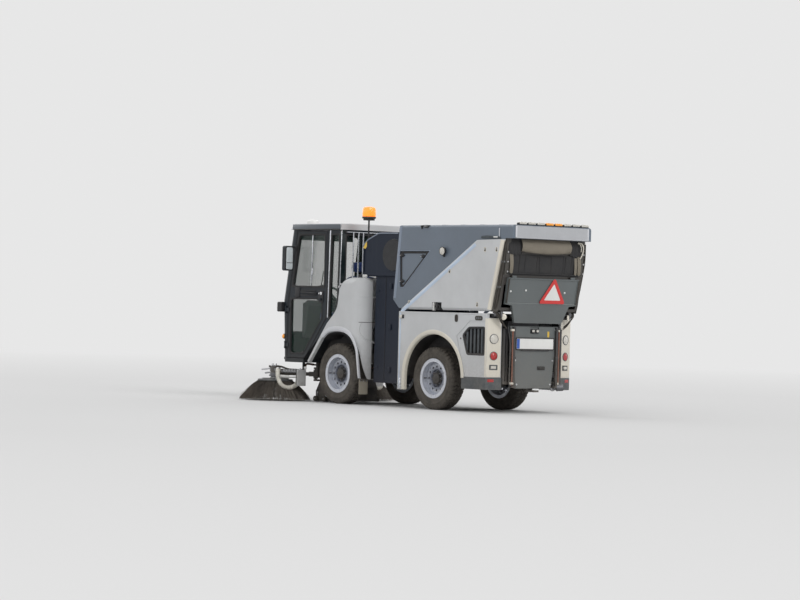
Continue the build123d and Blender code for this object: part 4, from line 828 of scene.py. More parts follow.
# Lamps along the hood's top edge and the pair of work lamps on the hopper sides
hoodTop = {"backX": rx - 1.172, "low": 1.941, "half": 0.5,
    "shift": -0.04, "order": ["clear"] * 3 + ["amber"] * 2 + ["clear"] * 3}
segments = np.linspace(-hoodTop["half"], hoodTop["half"], len(hoodTop["order"]) + 1) + hoodTop["shift"]
kinds = {"amber": [], "clear": [], "base": []}
x, z = hoodTop["backX"], hoodTop["low"]
for i, kind in enumerate(hoodTop["order"]):
    y0, y1 = segments[i] + 0.012, segments[i + 1] - 0.012
    kinds[kind].append(softBox((x - 0.006, y0, z + 0.006), (x + 0.026, y1, z + 0.031), 0.008))
    kinds["base"].append(softBox((x + 0.002, y0 - 0.004, z - 0.001), (x + 0.04, y1 + 0.004, z + 0.022), 0.004))
    kinds["base"].append(rod((x + 0.03, (y0 + y1) / 2, z + 0.018), (x + 0.03, (y0 + y1) / 2, z + 0.033), 0.007))
workSpot = np.array([rx - 0.132, 0.552, 1.665])
workShell = lathe([(0.012, 0.0), (0.026, 0.002), (0.038, 0.01),
        (0.043, 0.02), (0.045, 0.032), (0.043, 0.036), (0.04, 0.034)], workSpot, toLeft, 40)
workFoot = [softBox(workSpot + (-0.016, -0.002, -0.06), workSpot + (0.016, 0.008, -0.03), 0.003),
    rod(workSpot + (0, 0.012, -0.052), workSpot + (0, 0.012, -0.036), 0.006)]
workLens = placed(ringedLens(0.04, 4), workSpot + (0, 0.026, 0), toLeft)
hopperLenses = piece("hopper_clear_lamps", kinds["clear"] + [workLens, mirrored(workLens)], clearLens, "hopper")
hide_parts("hopper_lamps")
piece("hopper_amber_lamps", kinds["amber"], amberLens, "hopper")
piece("hopper_lamp_housings", kinds["base"] + [workShell, mirrored(workShell)]
    + workFoot + [mirrored(s) for s in workFoot], blackPlastic, "hopper")
print("lamps done")

# Side covers: plugs, bevel strip painted with a sky reflection, rounded rear strip in cream as a painted highlight,
# pale front edge strips of the hopper as a painted highlight, and the latch in its notch
coverFace = 0.59
plugs = [(-1.715, 1.682), (-1.892, 1.683), (-1.169, 1.457), (-0.531, 1.119), (-1.614, 1.115)]
# Cream rings are a painted highlight and black discs a painted shade for the round bolt dimples
plugHighlightRings, plugCores, plugShadeDiscs = [], [], []
for x, z in plugs:
    spot = (x, coverFace, z)
    plugHighlightRings.append(placed(frameSlab(oval(0.034, 0.052), oval(0.022, 0.04), 0.0, 0.003, "z", 0.001), spot, toLeft))
    plugShadeDiscs.append(placed(plaque(oval(0.024, 0.042), 0.0015, 0.0005), spot, toLeft))
    plugCores.append(placed(lathe([(0.008, 0.001), (0.008, 0.006), (0.006, 0.0075)], steps=6),
            (x, coverFace, z + 0.006), toLeft))
for shapes, material, label, slotName in ((plugHighlightRings, paints["creamAndSunlit"], "rings", "silver_paint"),
        (plugShadeDiscs, blackRubber, "plugs", "black_plastic"), (plugCores, steel, "screws", "bare_steel")):
    piece(f"cover_{label}", eachSide(shapes), material, "hopper")


def strip(start, end, widthStart, widthEnd, thick):
    # Thin crowned band between the line from start to end and the line beside it
    start, end, widthStart, widthEnd = (np.array(place, float) for place in (start, end, widthStart, widthEnd))
    s, t = np.linspace(0, 1, 24)[:, None, None], np.linspace(0, 1, 5)[None, :, None]
    face = (1 - s) * ((1 - t) * start + t * widthStart) + s * ((1 - t) * end + t * widthEnd)
    normal = unit(np.cross(end - start, widthStart - start))
    normal *= 1 if normal[1] > 0 else -1
    swell = thick * np.sqrt(np.clip(np.sin(np.pi * np.linspace(0, 1, 5)), 0, 1))[None, :, None]
    return surface(np.concatenate([face + normal * swell, (face - normal * 0.001)[:, ::-1]], 1),
        closeColumns=True, caps=True)


acrossSlope = np.array([0.732, 0, 1.187]) / 1.3946
lowEnd, highEnd = np.array([rx + 0.52, 0.5903, 1.0575]), np.array([rx - 0.64, 0.5903, 1.7725])
bevelStrip = strip(*(end - acrossSlope * step for step in (0.026, 0.064) for end in (lowEnd, highEnd)), 0.0035)
# Pale blue strip along the cover's bevel: painted sky reflection
skyReflectionPaint = paint("skyReflectionPaint", (0.5, 0.59, 0.72), 0.35, dust=0.2)
piece("cover_bevel_reflections", eachSide(bevelStrip), skyReflectionPaint, "hopper")
# Pale strip down the hopper's rounded front edge: painted highlight
frontEdge = strip((rx + 0.6775, 0.5525, 1.165), (rx + 0.5995, 0.5525, 1.932), (rx + 0.6365, 0.5525, 1.165),
                  (rx + 0.5585, 0.5525, 1.932), 0.0016)
edgeHighlightPaint = paint("edgeHighlightPaint", (0.2, 0.24, 0.31), 0.35, dust=0.2)
piece("hopper_front_edge_highlights", eachSide(frontEdge), edgeHighlightPaint, "hopper")


def roundedEdge(start, end, inward, radius, thick=0.0012):
    # Quarter round along an edge: centre line + (radius + thick) * (cos a * back + sin a * out)
    start, end, inward = np.array(start, float), np.array(end, float), unit(inward)
    s = np.linspace(0, 1, 20)[:, None, None]
    a = np.linspace(0, np.pi / 2, 9)
    centre = (1 - s) * start + s * end + inward * radius - np.array([0, 1, 0]) * radius
    away = -np.cos(a)[None, :, None] * inward + np.sin(a)[None, :, None] * np.array([0, 1, 0])
    outer, inner = centre + (radius + thick) * away, centre + (radius - 0.001) * away
    return surface(np.concatenate([outer, inner[:, ::-1]], 1), closeColumns=True, caps=True)


# Cream quarter round along the cover's rear edge: painted highlight
rearTop, rearFoot = np.array([rx - 1.083, coverFace, 1.778]), np.array([rx - 0.899, coverFace, 1.062])
inwards = unit(np.array([0.739, 0, 0.189]))
piece("cover_rear_edge_highlights", eachSide(roundedEdge(rearTop, rearFoot, inwards, 0.032)), paints["creamAndSunlit"], "hopper")
latchX = rx - 0.074
latchParts = [softBox((latchX - 0.058, 0.553, 1.046), (latchX + 0.05, 0.562, 1.124), 0.004),
    softBox((latchX - 0.012, 0.56, 1.05), (latchX + 0.016, 0.588, 1.118), 0.006),
    pipe([(latchX - 0.01, 0.575, 1.1), (latchX - 0.048, 0.592, 1.092),
            (latchX - 0.052, 0.592, 1.062), (latchX - 0.008, 0.575, 1.056)], 0.006, perRun=6),
    rod((latchX + 0.03, 0.556, 1.085), (latchX + 0.03, 0.58, 1.085), 0.012, 18)]
piece("cover_latches", eachSide(latchParts), blackPlastic, "hopper")
piece("latch_lips", eachSide(softBox((latchX + 0.052, 0.553, 1.042), (latchX + 0.064, 0.5905, 1.128), 0.003)),
    paints["white"], "hopper")

# Hopper side recess: catches in its three corners
recessSpots = [(rx + 0.556, 1.62), (rx + 0.545, 1.345), (rx + 0.215, 1.61)]
catches = []
for x, z in recessSpots:
    catches += [lathe([(0.02, 0.0), (0.02, 0.012), (0.014, 0.02), (0.006, 0.022)], (x, 0.541, z), toLeft, 20),
                softBox((x - 0.034, 0.54, z - 0.009), (x + 0.034, 0.558, z + 0.009), 0.005)]
piece("recess_catches", eachSide(catches), blackPlastic, "hopper")
catchTips = [rod((x - 0.02, 0.552, z + 0.003), (x + 0.024, 0.56, z - 0.004), 0.0045) for x, z in recessSpots]
piece("recess_catch_pins", eachSide(catchTips), steel, "hopper")
print("hopper side fittings done")

# Warning triangle: red border on the white plate, no sign inside
signUp = unit((-0.045, 0, 0.274))
signOut = unit((-0.274, 0, -0.045))
signMiddle = np.array([rx - 1.063 - 0.0055, -0.14, 1.256])
signFace = roundLoop([(-0.186, -0.116), (0.186, -0.116), (0.0, 0.158)], 0.038, 8)
signInner = roundLoop([(-0.118, -0.08), (0.118, -0.08), (0.0, 0.094)], 0.014, 8)
signPlate = piece("sign_plate", placed(plaque(inset(signFace, 0.002), 0.0035, 0.001, -0.001),
        signMiddle, signOut, signUp), paints["white"], "discharge_door")
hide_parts("warning_triangle")
piece("sign_border", placed(frameSlab(signFace, signInner, 0.0, 0.0045, "z", 0.0008), signMiddle, signOut, signUp),
    paints["red"], "discharge_door")

# Discharge door fittings: white studs, ribs, seal bands and a pale line along the fold as a painted highlight
upperDoor = np.array([rx - 1.0615, 0.0, 1.263])


def onDoor(shape, y=0.0, rise=0.0):
    return placed(shape, upperDoor + (0, y, 0) + signUp * rise, signOut, signUp)


studs = [onDoor(lathe([(0.01, 0), (0.01, 0.006), (0.006, 0.009)], steps=16), y, rise)
         for y, rise in ((0.449, -0.004), (0.24, 0.01), (-0.308, -0.004))]
piece("door_studs", studs, paints["white"], "discharge_door")
doorRibs = [onDoor(plaque(rectangle(0.006, 0.262, 0.002), 0.006, 0.0015), y) for y in (-0.478, 0.478)]
doorRibs.append(onDoor(plaque(rectangle(0.94, 0.01, 0.003), 0.007, 0.002), rise=0.128))
piece("door_ribs", doorRibs, paints["door"], "discharge_door")
doorSeal = [onDoor(plaque(rectangle(0.018, 0.255, 0.006), 0.01, 0.003), y) for y in (-0.489, 0.489)]
piece("door_seals", doorSeal, blackRubber, "discharge_door")
# Pale line along the door's fold: painted highlight
foldHighlightPaint = paint("foldHighlightPaint", (0.19, 0.205, 0.205), 0.45, dust=0.4)
piece("door_fold_highlight", onDoor(plaque(rectangle(0.93, 0.007, 0.003), 0.004, 0.0015), rise=-0.126),
    foldHighlightPaint, "discharge_door")
print("door fittings done")

# Number plate: blank field, blue band at its left end, holder and two lamps; a blank yellow tag beside it
plateLow, plateHigh = corners("number_plate")
plateBack, plateSpot = plateLow[0], (plateLow + plateHigh) / 2
plateWide, plateTall = plateHigh[1] - plateLow[1], plateHigh[2] - plateLow[2]
face = np.array([plateBack, plateSpot[1], plateSpot[2]])
piece("plate_holder", [placed(frameSlab(rectangle(plateWide + 0.018, plateTall + 0.018, 0.01, 6),
            rectangle(plateWide - 0.004, plateTall - 0.004, 0.006, 6), -0.006, 0.003, "z", 0.0015), face, toRear),
        placed(plaque(rectangle(0.4, 0.012, 0.003), 0.004, 0.001), face + (0, 0, -plateTall / 2 - 0.012), toRear)],
    blackPlastic, "rear_unit")
piece("plate_band", placed(plaque(rectangle(0.04, plateTall - 0.01, 0.003), 0.0012, 0.0004),
        face + (0, plateWide / 2 - 0.025, 0), toRear), paints["blue"], "rear_unit")
lampFoot = np.array([plateBack + 0.016, 0.0, 0.855])
piece("plate_lamp", [softBox(lampFoot + (-0.014, -0.055, -0.02), lampFoot + (0.004, 0.055, 0.018), 0.005),
                     softBox(lampFoot + (-0.02, -0.046, -0.024), lampFoot + (-0.01, -0.004, -0.004), 0.003),
                     softBox(lampFoot + (-0.02, 0.004, -0.024), lampFoot + (-0.01, 0.046, -0.004), 0.003)],
      blackPlastic, "rear_unit")
piece("plate_lamp_lens", [softBox(lampFoot + (-0.022, y - 0.016, -0.012),
            lampFoot + (-0.015, y + 0.016, 0.012), 0.003) for y in (-0.03, 0.03)], clearLens, "rear_unit")
piece("yellow_tag", placed(plaque(rectangle(0.026, 0.06, 0.003), 0.002, 0.0006),
        (plateBack + 0.0125, -0.195, 0.822), toRear), paints["yellow"], "rear_unit")
panelBolts = [(plateBack + 0.012, y, z)
    for y, z in ((0.29, 0.872), (-0.29, 0.872), (0.235, 0.3), (-0.235, 0.3), (0.262, 0.55), (-0.262, 0.55))]
piece("rear_panel_bolts", bolts(panelBolts, toRear, 0.007, 0.006), steel, "rear_unit")
piece("rear_panel_handle",
    [placed(plaque(rectangle(0.11, 0.04, 0.012, 6), 0.004, 0.001), (plateBack + 0.012, -0.1, 0.47), toRear),
        pipe([(plateBack + 0.012, -0.06, 0.47), (plateBack - 0.006, -0.062, 0.47),
            (plateBack - 0.006, -0.138, 0.47), (plateBack + 0.012, -0.14, 0.47)], 0.004, perRun=6)],
    blackPlastic, "rear_unit")
print("rear panel done")

# Guide posts beside the rear panel: black tubes with worn red-brown rods, feet and hinge blocks
post = {"x": -1.872, "reach": 0.3, "low": 0.27, "high": 0.895}
wornRed = paint("wornRed", (0.2, 0.075, 0.045), 0.6, dust=0.5)
postParts, rodParts, whiteParts = [], [], []
for sideName, side in sides:
    x, y = post["x"], side * post["reach"]
    # Post, foot and hinge block: how far back, ahead and aside they reach, and their heights
    postParts += [softBox((x - back, y - aside, low), (x + ahead, y + aside, high), 0.004)
        for back, ahead, aside, low, high in ((0.014, 0.014, 0.014, post["low"], post["high"]),
            (0.022, 0.04, 0.026, post["low"] - 0.004, post["low"] + 0.014), (0.018, 0.03, 0.02, 0.56, 0.59))]
    rodParts.append(rod((x - 0.01, y + side * 0.026, post["low"] + 0.02),
            (x - 0.01, y + side * 0.026, post["high"] - 0.04), 0.008, 14))
    clampY = y + side * 0.018
    whiteParts += [softBox((x - 0.02, clampY - 0.01, z),
            (x + 0.004, clampY + 0.026 * (side > 0) + 0.004, z + 0.022), 0.003) for z in (0.3, 0.85)]
    cable = [(x + ahead, y + side * aside, z)
        for ahead, aside, z in ((0.01, 0.045, 0.3), (-0.004, 0.055, 0.5), (0.006, 0.046, 0.72), (0.03, 0.06, 0.9))]
    postParts.append(pipe(cable, 0.008))
piece("guide_posts", postParts, paints["chassis"], "rear_unit")
piece("guide_rods", rodParts, wornRed, "rear_unit")
piece("guide_clamps", whiteParts, paints["creamAndSunlit"], "rear_unit")
print("guide posts done")

# Cab outside: window gaskets, light pillar strips, dividers, latches, grips, mirrors, rear guard, wiper
cab = {"half": 0.545, "waist": 1.11, "top": 1.898, "lean": 0.015, "gasket": 0.013}
cabRows = np.array([(0.43, 0.97, 1.05, 0.545), (1.11, 1.005, 1.105, 0.545), (1.898, 0.885, 0.965, 0.53)])


def cabSide(z):
    return cab["half"] - np.clip((np.asarray(z) - cab["waist"]) / (cab["top"] - cab["waist"]), 0, 1) * cab["lean"]


def cabFront(y, z):
    # Bowed front: x = corner + (nose - corner) * (1 - (y / half)^2), all three following the height
    corner, nose, half = (np.interp(z, cabRows[:, 0], cabRows[:, i]) for i in (1, 2, 3))
    return fx + corner + (nose - corner) * (1 - (np.asarray(y) / half) ** 2)


def leaning(shape):
    # A shape drawn on the upright cab side follows the side's lean above the waist
    places = shape[0].copy()
    places[:, 1] += cabSide(places[:, 2]) - cab["half"]
    return places, shape[1]


def gasket(outline, radius=0.045):
    # Rubber ring round a window: a little wider than the opening outside, drawn in over the pane inside
    outline = np.array(outline) + (fx, 0)
    grown = inset(roundLoop(outline, 0.012, 6), -0.005)
    shrunk = roundLoop(insetCorners(outline, cab["gasket"]), radius, 6)
    return leaning(frameSlab(grown, shrunk, cab["half"] - 0.024, cab["half"] + 0.0045, "y", 0.002))


def insetCorners(corners, amount):
    # Straight-sided outline moved inwards: each corner goes along its mitre by amount / sin(half angle)
    corners = np.asarray(corners, float)
    ahead, back = unit(np.roll(corners, -1, 0) - corners), unit(corners - np.roll(corners, 1, 0))
    area = np.sum(corners[:, 0] * np.roll(corners[:, 1], -1) - np.roll(corners[:, 0], -1) * corners[:, 1])
    turn = 1 if area > 0 else -1
    normalA, normalB = np.stack([-ahead[:, 1], ahead[:, 0]],
        1) * turn, np.stack([-back[:, 1], back[:, 0]], 1) * turn
    mitre = (normalA + normalB) / (1 + np.sum(normalA * normalB, 1, keepdims=True))
    return corners + mitre * amount


upperWindow = [(0.29, 1.85), (0.76, 1.85), (0.852, 1.265), (0.275, 1.265), (0.275, 1.355)]
lowerWindow = [(0.3, 1.142), (0.868, 1.142), (0.868, 0.525), (0.62, 0.525), (0.385, 0.82), (0.3, 0.925)]
mirror = {"in": 0.6115, "out": 0.7165, "low": 1.448, "high": 1.707, "divide": 1.528}
quarterWindow = [(0.04, 1.85), (0.192, 1.85), (0.192, 0.93), (0.04, 0.93)]
for sideName, side in sides:
    door = f"{sideName}_door"
    piece(f"{door}_gaskets", onSide([gasket(upperWindow), gasket(lowerWindow)], side), curtainRubber, door)
    x0, x1 = fx + 0.52, fx + 0.528
    divider = leaning(softBox((x0, cab["half"] - 0.0155, 1.272), (x1 + 0.004, cab["half"] - 0.006, 1.842), 0.003))
    piece(f"{door}_divider",
        onSide([divider, leaning(softBox((x0 - 0.02, cab["half"] - 0.013, 1.4),
                (x0 - 0.004, cab["half"] - 0.002, 1.47), 0.004))], side), alloy, door)
    plate = [softBox((fx + 0.285, 0.5445, 1.1), (fx + 0.372, 0.5535, 1.226), 0.006, 4),
             softBox((fx + 0.42, 0.5435, 1.166), (fx + 0.8, 0.55, 1.182), 0.004),
             softBox((fx + 0.42, 0.5435, 1.216), (fx + 0.78, 0.55, 1.232), 0.004),
             softBox((fx + 0.7, 0.542, 1.15), (fx + 0.78, 0.556, 1.262), 0.006)]
    piece(f"{door}_latch_plate", onSide([leaning(s) for s in plate], side), blackPlastic, door)
    grip = smoothPath([(fx + 0.398, 0.547, 1.196), (fx + 0.405, 0.577, 1.198),
            (fx + 0.52, 0.579, 1.202), (fx + 0.64, 0.577, 1.204), (fx + 0.648, 0.547, 1.204)])
    piece(f"{door}_grip", onSide(tube(grip, 0.0085, 12), side), blackPlastic, door)
    piece(f"{door}_latch", onSide([softBox((fx + 0.3, 0.553, 1.18), (fx + 0.33, 0.561, 1.212), 0.004),
                                   rod((fx + 0.352, 0.551, 1.196), (fx + 0.352, 0.56, 1.196), 0.01, 20)], side),
          chrome, door)
    # Mirror: glass face looking back, dark rounded shell, foot and clamp on its arm
    mirrorLoop = roundLoop([(mirror["in"], mirror["low"]), (mirror["out"], mirror["low"]),
            (mirror["out"], mirror["high"]), (mirror["in"], mirror["high"])], 0.03, 7)
    back = fx + 0.76
    rings, deep = [], [(0.0, -0.002), (0.003, -0.006), (0.01, -0.006),
        (0.046, -0.004), (0.054, 0.006), (0.058, 0.02)]
    for step, shrink in deep:
        ring = inset(mirrorLoop, shrink)
        rings.append(np.insert(ring, 0, back + step - 0.004, axis=1))
    shell = surface(np.stack(rings), closeColumns=True, caps=True)
    piece(f"{door}_mirror_shell", onSide([shell, rod((back + 0.03, 0.56, 1.7), (back + 0.03, 0.64, 1.7), 0.012, 14),
                softBox((back + 0.012, 0.54, 1.672), (back + 0.06, 0.56, 1.722), 0.006)], side), blackPlastic, door)
    glassLoop = inset(mirrorLoop, 0.008)
    glassMiddle = glassLoop.mean(0)
    bulge = [np.insert(glassMiddle + (glassLoop - glassMiddle) * s, 0, back - 0.006 - d, axis=1)
        for s, d in ((1.0, 0.0), (0.97, 0.0015), (0.6, 0.0026), (0.15, 0.0032))]
    piece(f"{door}_mirror_glass", onSide(surface(np.stack(bulge), closeColumns=True, caps=True), side),
        mirrorGlass, door)
    divide = [(back - 0.0095, y, mirror["divide"]) for y in (mirror["in"] + 0.012, mirror["out"] - 0.012)]
    piece(f"{door}_mirror_bar", onSide(rod(divide[0], divide[1], 0.003, 8), side), blackPlastic, door)
    # Door hinges' bolts and the rubber seal round the door's edge
    hingeBolts = [(fx + 0.888, 0.5525, z + dz) for z in (0.62, 1.01) for dz in (-0.01, 0.01)]
    piece(f"{door}_hinge_bolts", onSide(bolts(hingeBolts, toLeft, 0.005, 0.004), side), steel, door)
    seal = [(0.25, 1.89), (0.795, 1.89), (0.915, 1.11),
        (0.915, 0.475), (0.59, 0.475), (0.338, 0.784), (0.222, 0.929), (0.222, 1.2)]
    seam = np.array(seal) + (fx, 0)
    piece(f"{door}_edge_seal", onSide(leaning(frameSlab(roundLoop(insetCorners(seam, 0.007), 0.03, 6),
                roundLoop(insetCorners(seam, 0.016), 0.03, 6),
                cab["half"] - 0.002, cab["half"] + 0.0025, "y", 0.001)), side), curtainRubber, door)

piece("quarter_gaskets", eachSide(gasket(quarterWindow, radius=0.02)), curtainRubber, "front_unit")
piece("pillar_strips", eachSide(
        leaning(softBox((fx + 0.1965, 0.5435, 0.935), (fx + 0.2125, 0.5495, 1.892), 0.002))), alloy, "front_unit")
rearGuard = {"half": 0.478, "low": 1.205, "high": 1.872, "bars": (0.375, 0.302, 0.236, -0.375, -0.302, -0.236)}
guardHeights, guardEnds = (rearGuard["low"], rearGuard["high"]), (-rearGuard["half"], rearGuard["half"])
rearBars = [rod((fx, y, rearGuard["low"]), (fx, y, rearGuard["high"]), 0.0075, 12) for y in rearGuard["bars"]]
crossBars = [rod((fx, guardEnds[0], z), (fx, guardEnds[1], z), 0.0065, 12) for z in guardHeights]
ends = [softBox((fx - 0.006, y - 0.014, z - 0.014), (fx + 0.0105, y + 0.014, z + 0.014), 0.003)
        for y in guardEnds for z in guardHeights]
piece("rear_window_bars", rearBars + crossBars, alloy, "front_unit")
piece("rear_window_feet", ends, blackPlastic, "front_unit")
rearLoop = [(-0.473, 1.18), (0.473, 1.18), (0.473, 1.85), (-0.473, 1.85)]
rearRing = frameSlab(inset(roundLoop(rearLoop, 0.012, 6), -0.005),
    roundLoop(insetCorners(rearLoop, 0.013), 0.03, 6), fx + 0.0055, fx + 0.03, "x", 0.002)
piece("rear_window_gasket", rearRing, curtainRubber, "front_unit")


def alongFront(points, radius, lift=0.0, steps=10):
    # Bead that follows the bowed front through (y, z) points
    points = np.asarray(points, float)
    x = cabFront(points[:, 0], points[:, 1]) + lift
    return tube(np.stack([x, points[:, 0], points[:, 1]], 1), radius, steps, closed=True)


def dense(corners, radius, spacing=0.02):
    # Rounded outline resampled at even steps
    loop = roundLoop(corners, radius, 8)
    loop = np.concatenate([loop, loop[:1]])
    run = np.concatenate([[0], np.cumsum(np.linalg.norm(np.diff(loop, axis=0), axis=1))])
    at = np.linspace(0, run[-1], int(run[-1] / spacing), endpoint=False)
    return np.stack([np.interp(at, run, loop[:, i]) for i in (0, 1)], 1)


screenLoop = [(-0.455, 1.85), (0.455, 1.85), (0.47, 1.11), (0.47, 0.76), (-0.47, 0.76), (-0.47, 1.11)]
piece("windscreen_gasket", alongFront(dense(screenLoop, 0.05), 0.01, -0.002), curtainRubber, "front_unit")
wiperPath = np.array([(0.05, 0.7), (0.02, 0.9), (-0.06, 1.12)])
arm = np.stack([cabFront(wiperPath[:, 0], wiperPath[:, 1]) + (0.03, 0.022, 0.016),
        wiperPath[:, 0], wiperPath[:, 1]], 1)
blade = np.array([(-0.06, 0.82), (-0.06, 1.12), (-0.06, 1.45)])
bladeLine = np.stack([cabFront(blade[:, 0], blade[:, 1]) + 0.006, blade[:, 0], blade[:, 1]], 1)
piece("wiper", [pipe(arm, 0.006, perRun=6), pipe(bladeLine, 0.0055, 8),
        rod(arm[0] - (0.03, 0, 0), arm[0] + (0.008, 0, 0), 0.02, 24)], blackPlastic, "front_unit")

# Head lamps: dark pods with lens, ring and a small indicator on their outer face
podLow, podHigh = corners("head_lamps")
podTop, podBottom, podFront = podHigh[2], podLow[2], podHigh[0]
for sideName, side in sides:
    spot = np.array([podFront - 0.002, side * (podHigh[1] - 0.038), (podTop + podBottom) / 2])
    piece(f"{sideName}_head_lamp_lens", placed(ringedLens(0.03, 4), spot, toFront), clearLens, "front_unit")
    piece(f"{sideName}_head_lamp_ring", placed(bezel(0.03, 0.006, 0.012), spot, toFront), chrome, "front_unit")
    marker = np.array([fx + 0.972, side * 0.541, 0.713])
    piece(f"{sideName}_side_marker", lathe([(0.024, 0.0), (0.024, 0.012), (0.018, 0.02), (0.006, 0.023)],
            marker, (0.35, side, 0), 24), amberLens, "front_unit")
    piece(f"{sideName}_marker_foot", lathe([(0.029, -0.006), (0.029, 0.004), (0.025, 0.006), (0.01, 0.006)],
            marker, (0.35, side, 0), 24), blackRubber, "front_unit")

# Cab front below the screen: grille bars, bumper strip and lamps
frontParts, frontLenses, frontGrille = [], [], []
for z in (0.56, 0.59, 0.62, 0.65):
    line = np.linspace(-0.26, 0.26, 17)
    frontGrille.append(tube(np.stack([cabFront(line, z) + 0.003, line, np.full(17, z)], 1), 0.007, 8))
line = np.linspace(-0.5, 0.5, 33)
frontParts.append(tube(np.stack([cabFront(line, 0.47) + 0.004, line, np.full(33, 0.47)], 1), 0.02, 14))
for sideName, side in sides:
    spot = np.array([float(cabFront(0.385, 0.61)) - 0.004, side * 0.385, 0.61])
    out = unit((1, side * 0.25, 0))
    frontLenses.append(placed(ringedLens(0.048, 5), spot + out * 0.004, out))
    frontParts.append(placed(bezel(0.048, 0.01, 0.016), spot, out))
piece("front_lamps", frontLenses, clearLens, "front_unit")
piece("front_bumper_trim", frontParts + frontGrille, blackPlastic, "front_unit")

# Roof: shallow dome lamp and hatch
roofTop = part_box("cab_roof")[1][2]
piece("roof_dome", lathe([(0.074, -0.004), (0.074, 0.016), (0.068, 0.032), (0.048, 0.045), (0.024, 0.05),
            (0.006, 0.051)], (fx + 0.72, 0.37, roofTop), steps=40), paints["white"], "front_unit")
piece("roof_hatch", slab(roundLoop([(fx + 0.22, -0.26), (fx + 0.6, -0.26), (fx + 0.6, 0.26), (fx + 0.22, 0.26)],
            0.05, 6), roofTop - 0.001, roofTop + 0.01, "z", 0.004), paints["silver"], "front_unit")

# Fender fittings: seams, filler cap and lever, clips, bolts and hangers of the mudflaps
seamArc = np.linspace(0.66, np.pi / 2, 12)
fender = {"cornerBack": 0.24, "cornerSide": 0.42, "radius": 0.1703, "seamHeight": 0.894, "seamEnd": 0.3}
cornerCentre = np.array([fx - fender["cornerBack"], fender["cornerSide"]])
rearFace = cornerCentre[0] - fender["radius"]
seamPath = cornerCentre + fender["radius"] * np.stack([-np.sin(seamArc), np.cos(seamArc)], 1)
seamPath = np.concatenate([seamPath, [(rearFace, fender["seamEnd"])]])
piece("fender_seams", eachSide(tube(np.insert(seamPath, 2, fender["seamHeight"], axis=1), 0.0026, 8)),
    blackRubber, "front_unit")
archRel = np.array([(-0.405, 0.29), (-0.392, 0.345), (-0.369, 0.482),
        (-0.336, 0.62), (-0.234, 0.745), (-0.079, 0.795), (0.119, 0.785), (0.232, 0.72)])
archPath = smoothPath(archRel + (fx, 0))
archOut = unit(np.gradient(archPath, axis=0))[:, ::-1] * (-1, 1)
archWide = np.interp(np.linspace(0, 1, len(archPath)), [0, 0.3, 0.7, 1], [0.25, 0.6, 1.15, 0.9])
cap = np.array([fx - 0.285, 0.485, 1.3755])
piece("filler_caps", eachSide(lathe([(0.03, 0), (0.03, 0.016), (0.026, 0.022), (0.01, 0.024)], cap, steps=28)),
    blackPlastic, "front_unit")
piece("filler_levers", eachSide(softBox(cap + (-0.052, -0.01, 0.002), cap + (-0.03, 0.012, 0.036), 0.005)),
    paints["white"], "front_unit")
tabs = [softBox((fx - 0.04, 0.545, 1.292), (fx - 0.01, 0.562, 1.312), 0.004),
    softBox((fx, 0.5445, 1.262), (fx + 0.022, 0.556, 1.284), 0.004)]
piece("fender_clips", eachSide(tabs), steel, "front_unit")
flapLow, flapHigh = corners("mudflaps")
flapBolts = bolts([(flapHigh[0] - 0.007, y, 0.262) for y in (0.46, 0.5, 0.54)], toRear, 0.006, 0.005)
piece("mudflap_bolts", eachSide(flapBolts), steel, "front_unit")
piece("mudflap_hangers", eachSide(softBox((flapLow[0] - 0.0225, 0.445, 0.2695),
            (flapLow[0] + 0.0002, 0.556, 0.2835), 0.003)), paints["chassis"], "front_unit")
print("cab outside done")

# Lower panel fittings: arch flanges with lips painted as highlights, front strips painted with a sky reflection,
# plugs, marker knob, grille frame, louvres, lamp panel skins painted in sunlit cream
rearArch = {"back": 0.029, "height": 0.345, "radius": 0.46}
archCentre = np.array([rx - rearArch["back"], rearArch["height"]])
flangeTurn = np.linspace(np.pi * 0.995, 0, 40)
flangeOut = np.stack([np.cos(flangeTurn), np.sin(flangeTurn)], 1)
flangeLegs = [archCentre + (rearArch["radius"], drop) for drop in (-0.07, -0.145)]
flangePath = np.concatenate([archCentre + rearArch["radius"] * flangeOut, flangeLegs])
flangeOut = np.concatenate([flangeOut, [(1, 0), (1, 0)]])
lipProfile = np.array([(0.04, 0.59), (0.036, 0.596), (0.018, 0.5985),
        (0.002, 0.5965), (-0.009, 0.588), (-0.013, 0.57), (-0.013, 0.556), (-0.001, 0.556), (0.0, 0.588)])


def archLip(path, out, widths):
    # Rolled lip along an arch: path + outward * reach * width + sideways, reach and side from the lip's profile
    reach = np.where(lipProfile[:, 0] > 0, lipProfile[None, :, 0] * widths[:, None], lipProfile[None, :, 0])
    flat = path[:, None] + reach[..., None] * out[:, None]
    side = np.broadcast_to(lipProfile[None, :, 1], reach.shape)
    return surface(np.stack([flat[..., 0], side, flat[..., 1]], -1), closeColumns=True, caps=True)


# Cream lip round the rear arch: painted highlight where it faces the light
piece("rear_arch_flanges", eachSide(archLip(flangePath, flangeOut, np.linspace(1.0, 0.8, len(flangePath)))),
    paints["creamAndSunlit"], "rear_unit")
columnX = rx + 0.55
